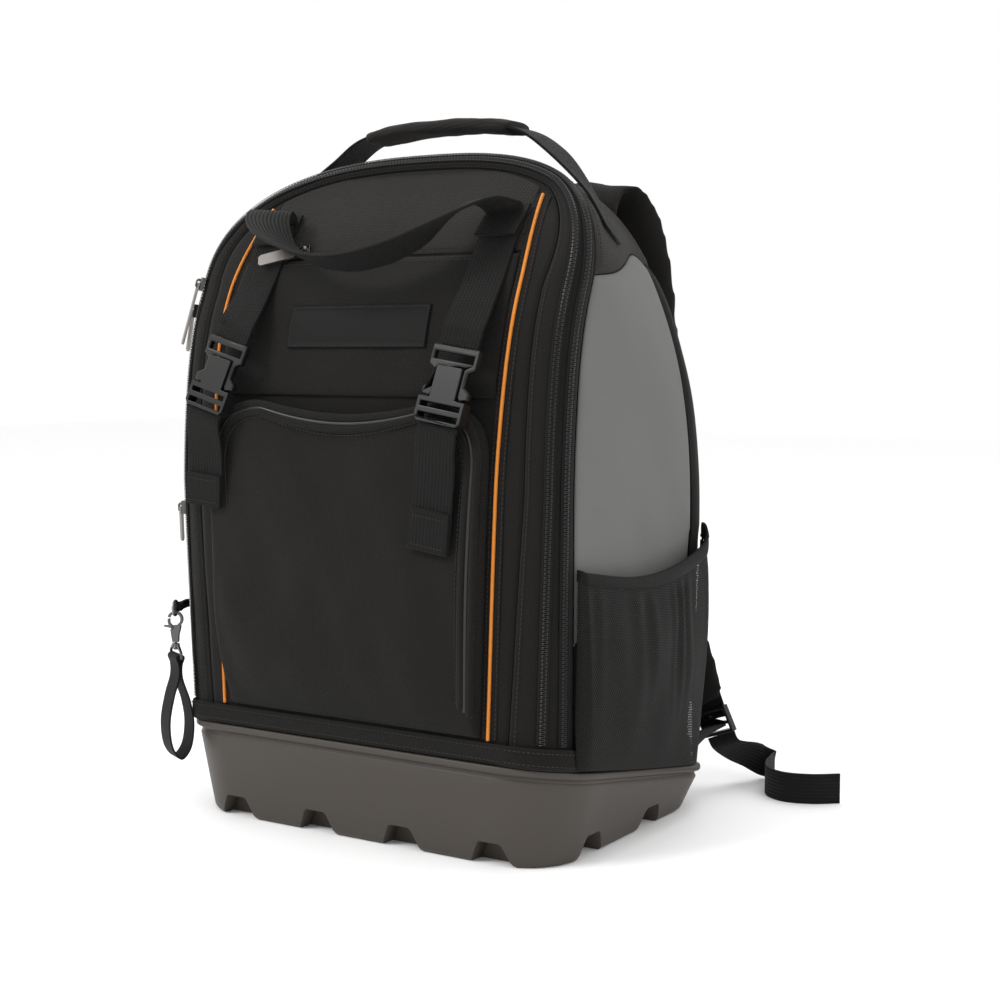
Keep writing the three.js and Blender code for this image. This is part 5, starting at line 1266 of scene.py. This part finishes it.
air_mesh = surface_finish("air_mesh", (0.013, 0.0125, 0.012), 0.85, 0.6, threads=0.0024, depth=0.0007)
for side_name, side in (("right", 1), ("left", -1)):
    corners = [(side * x, z) for x, z in ((8, 198), (118, 198), (84, 452), (8, 452))]
    inflate("back_cushion_" + side_name, pad_form(corners), air_mesh, ["back_pad_" + side_name],
            limit=3.0)
inflate("lumbar_cushion", pad_form([(-118, 96), (118, 96), (118, 182), (-118, 182)]), air_mesh,
        ["lumbar_pad"], limit=3.0)

# Adjusting webbing of the shoulder straps: a narrow corner tab sewn in at the foot, up to the ladder
# lock, and the free tail that hangs from the lock and lies on the floor.
TAIL_ROUTE = [(171.45, 165.05, 48.5), (174.5, 166.8, 41), (178, 181, 33), (184, 204, 24), (188, 219, 16),
              (196, 222, 13.2), (200, 208, 12.8), (205, 186, 12.8), (216, 166, 12.8), (234, 157, 12.8),
              (256, 162, 12.8), (276, 177, 12.8)]
TAB_WIDE = [(0.45, -0.3, 0.84), (0.6, -0.2, 0.7), (0.85, -0.2, 0.5)]
TAIL_WIDE = [(0.9, 0.1, 0.36), (0.88, 0.05, 0.4), (0.6, -0.35, 0.72), (0.35, -0.2, 0.9)] + [(0, 0, 1)] * 8
for side_name, side in (("right", 1), ("left", -1)):
    mirror = np.array([side, 1, 1])
    tail, _, _, _, length = strap("floor_tail_" + side_name, TAIL_ROUTE * mirror, TAIL_WIDE * mirror,
                                  *NARROW_WEB, 200, nodes=["strap_adjuster_tail_" + side_name])
    tab_foot = skin_out(np.array(0.035 if side > 0 else 1.965), np.array(2.5), 2.6 + 1.2 + 5)
    tab_end = np.array([167.8, 158.6, 52.6]) * mirror
    tab_mid = (tab_foot + tab_end) / 2 + (0, 1, 0)
    strap("corner_webbing_" + side_name, [tab_foot, tab_mid, tab_end], TAB_WIDE * mirror, *NARROW_WEB, 40,
          nodes=["corner_tab_" + side_name])

# Wrist loop: a folded tab and a wire ring at the left pocket, the snap hook on the ring, and a loop of
# thin webbing sewn through the swivel's eye.
HOOK = np.array([-177.0, -141.0, 0.0])
FACING = unit(np.array([0.4, -0.917, 0.0]))
ACROSS = unit(np.array([0.917, 0.4, 0.0]))
RING_Z, RING_R, RING_STOCK = 170.0, 6.0, 1.1
TAB_ROUTE = [(-0.9, -31), (-0.9, -15), (-2.6, -6), (0, -2.8), (2.6, -6), (0.9, -15), (0.9, -31)]
turn, spin = np.meshgrid(np.arange(48) / 48 * 2 * math.pi, np.arange(12) / 12 * 2 * math.pi, indexing="ij")
radius = RING_R + RING_STOCK * np.cos(spin)
ring_middle = HOOK + (0, 0, RING_Z)
ring_points = (ring_middle + FACING * (radius * np.cos(turn))[..., None]
               + np.array([0, 0, 1.0]) * (radius * np.sin(turn))[..., None]
               + ACROSS * (RING_STOCK * np.sin(spin))[..., None])
closed_ring = np.concatenate([ring_points, ring_points[:1]])
ring_piece = grid_piece("wire_ring", closed_ring, around=True)
faces_outwards(ring_piece, merge=True)
dress(ring_piece, pull_metal, ["hook_ring"])
tab_points = [ring_middle + ACROSS * a + FACING * out for a, out in TAB_ROUTE]
strap("hook_tab_webbing", tab_points, [(0, 0, 1)] * len(TAB_ROUTE), 6.4, 1.1, 80, nodes=["hook_tab"])
BAR_WAY = ACROSS * math.cos(math.radians(50)) + FACING * math.sin(math.radians(50))
LOOP_WAY = np.cross(BAR_WAY, (0, 0, 1.0))
bar_z = RING_Z - RING_R + RING_STOCK + 0.3 - 4.5 - 31.0
wrist = [(0, 2.6), (3, 0.4), (1.2, -6), (1.2, -16), (6, -32), (10, -55), (7, -76), (0, -84), (-7, -77),
         (-10.5, -58), (-8, -38), (-1.2, -16), (-1.2, -6), (-3, 0.4), (0, 2.6)]
wrist_route = [HOOK + (0, 0, bar_z + z) + LOOP_WAY * a for a, z in wrist]
strap("wrist_webbing", wrist_route, [BAR_WAY] * len(wrist_route), 20, 1.5, 240, nodes=["wrist_loop"])
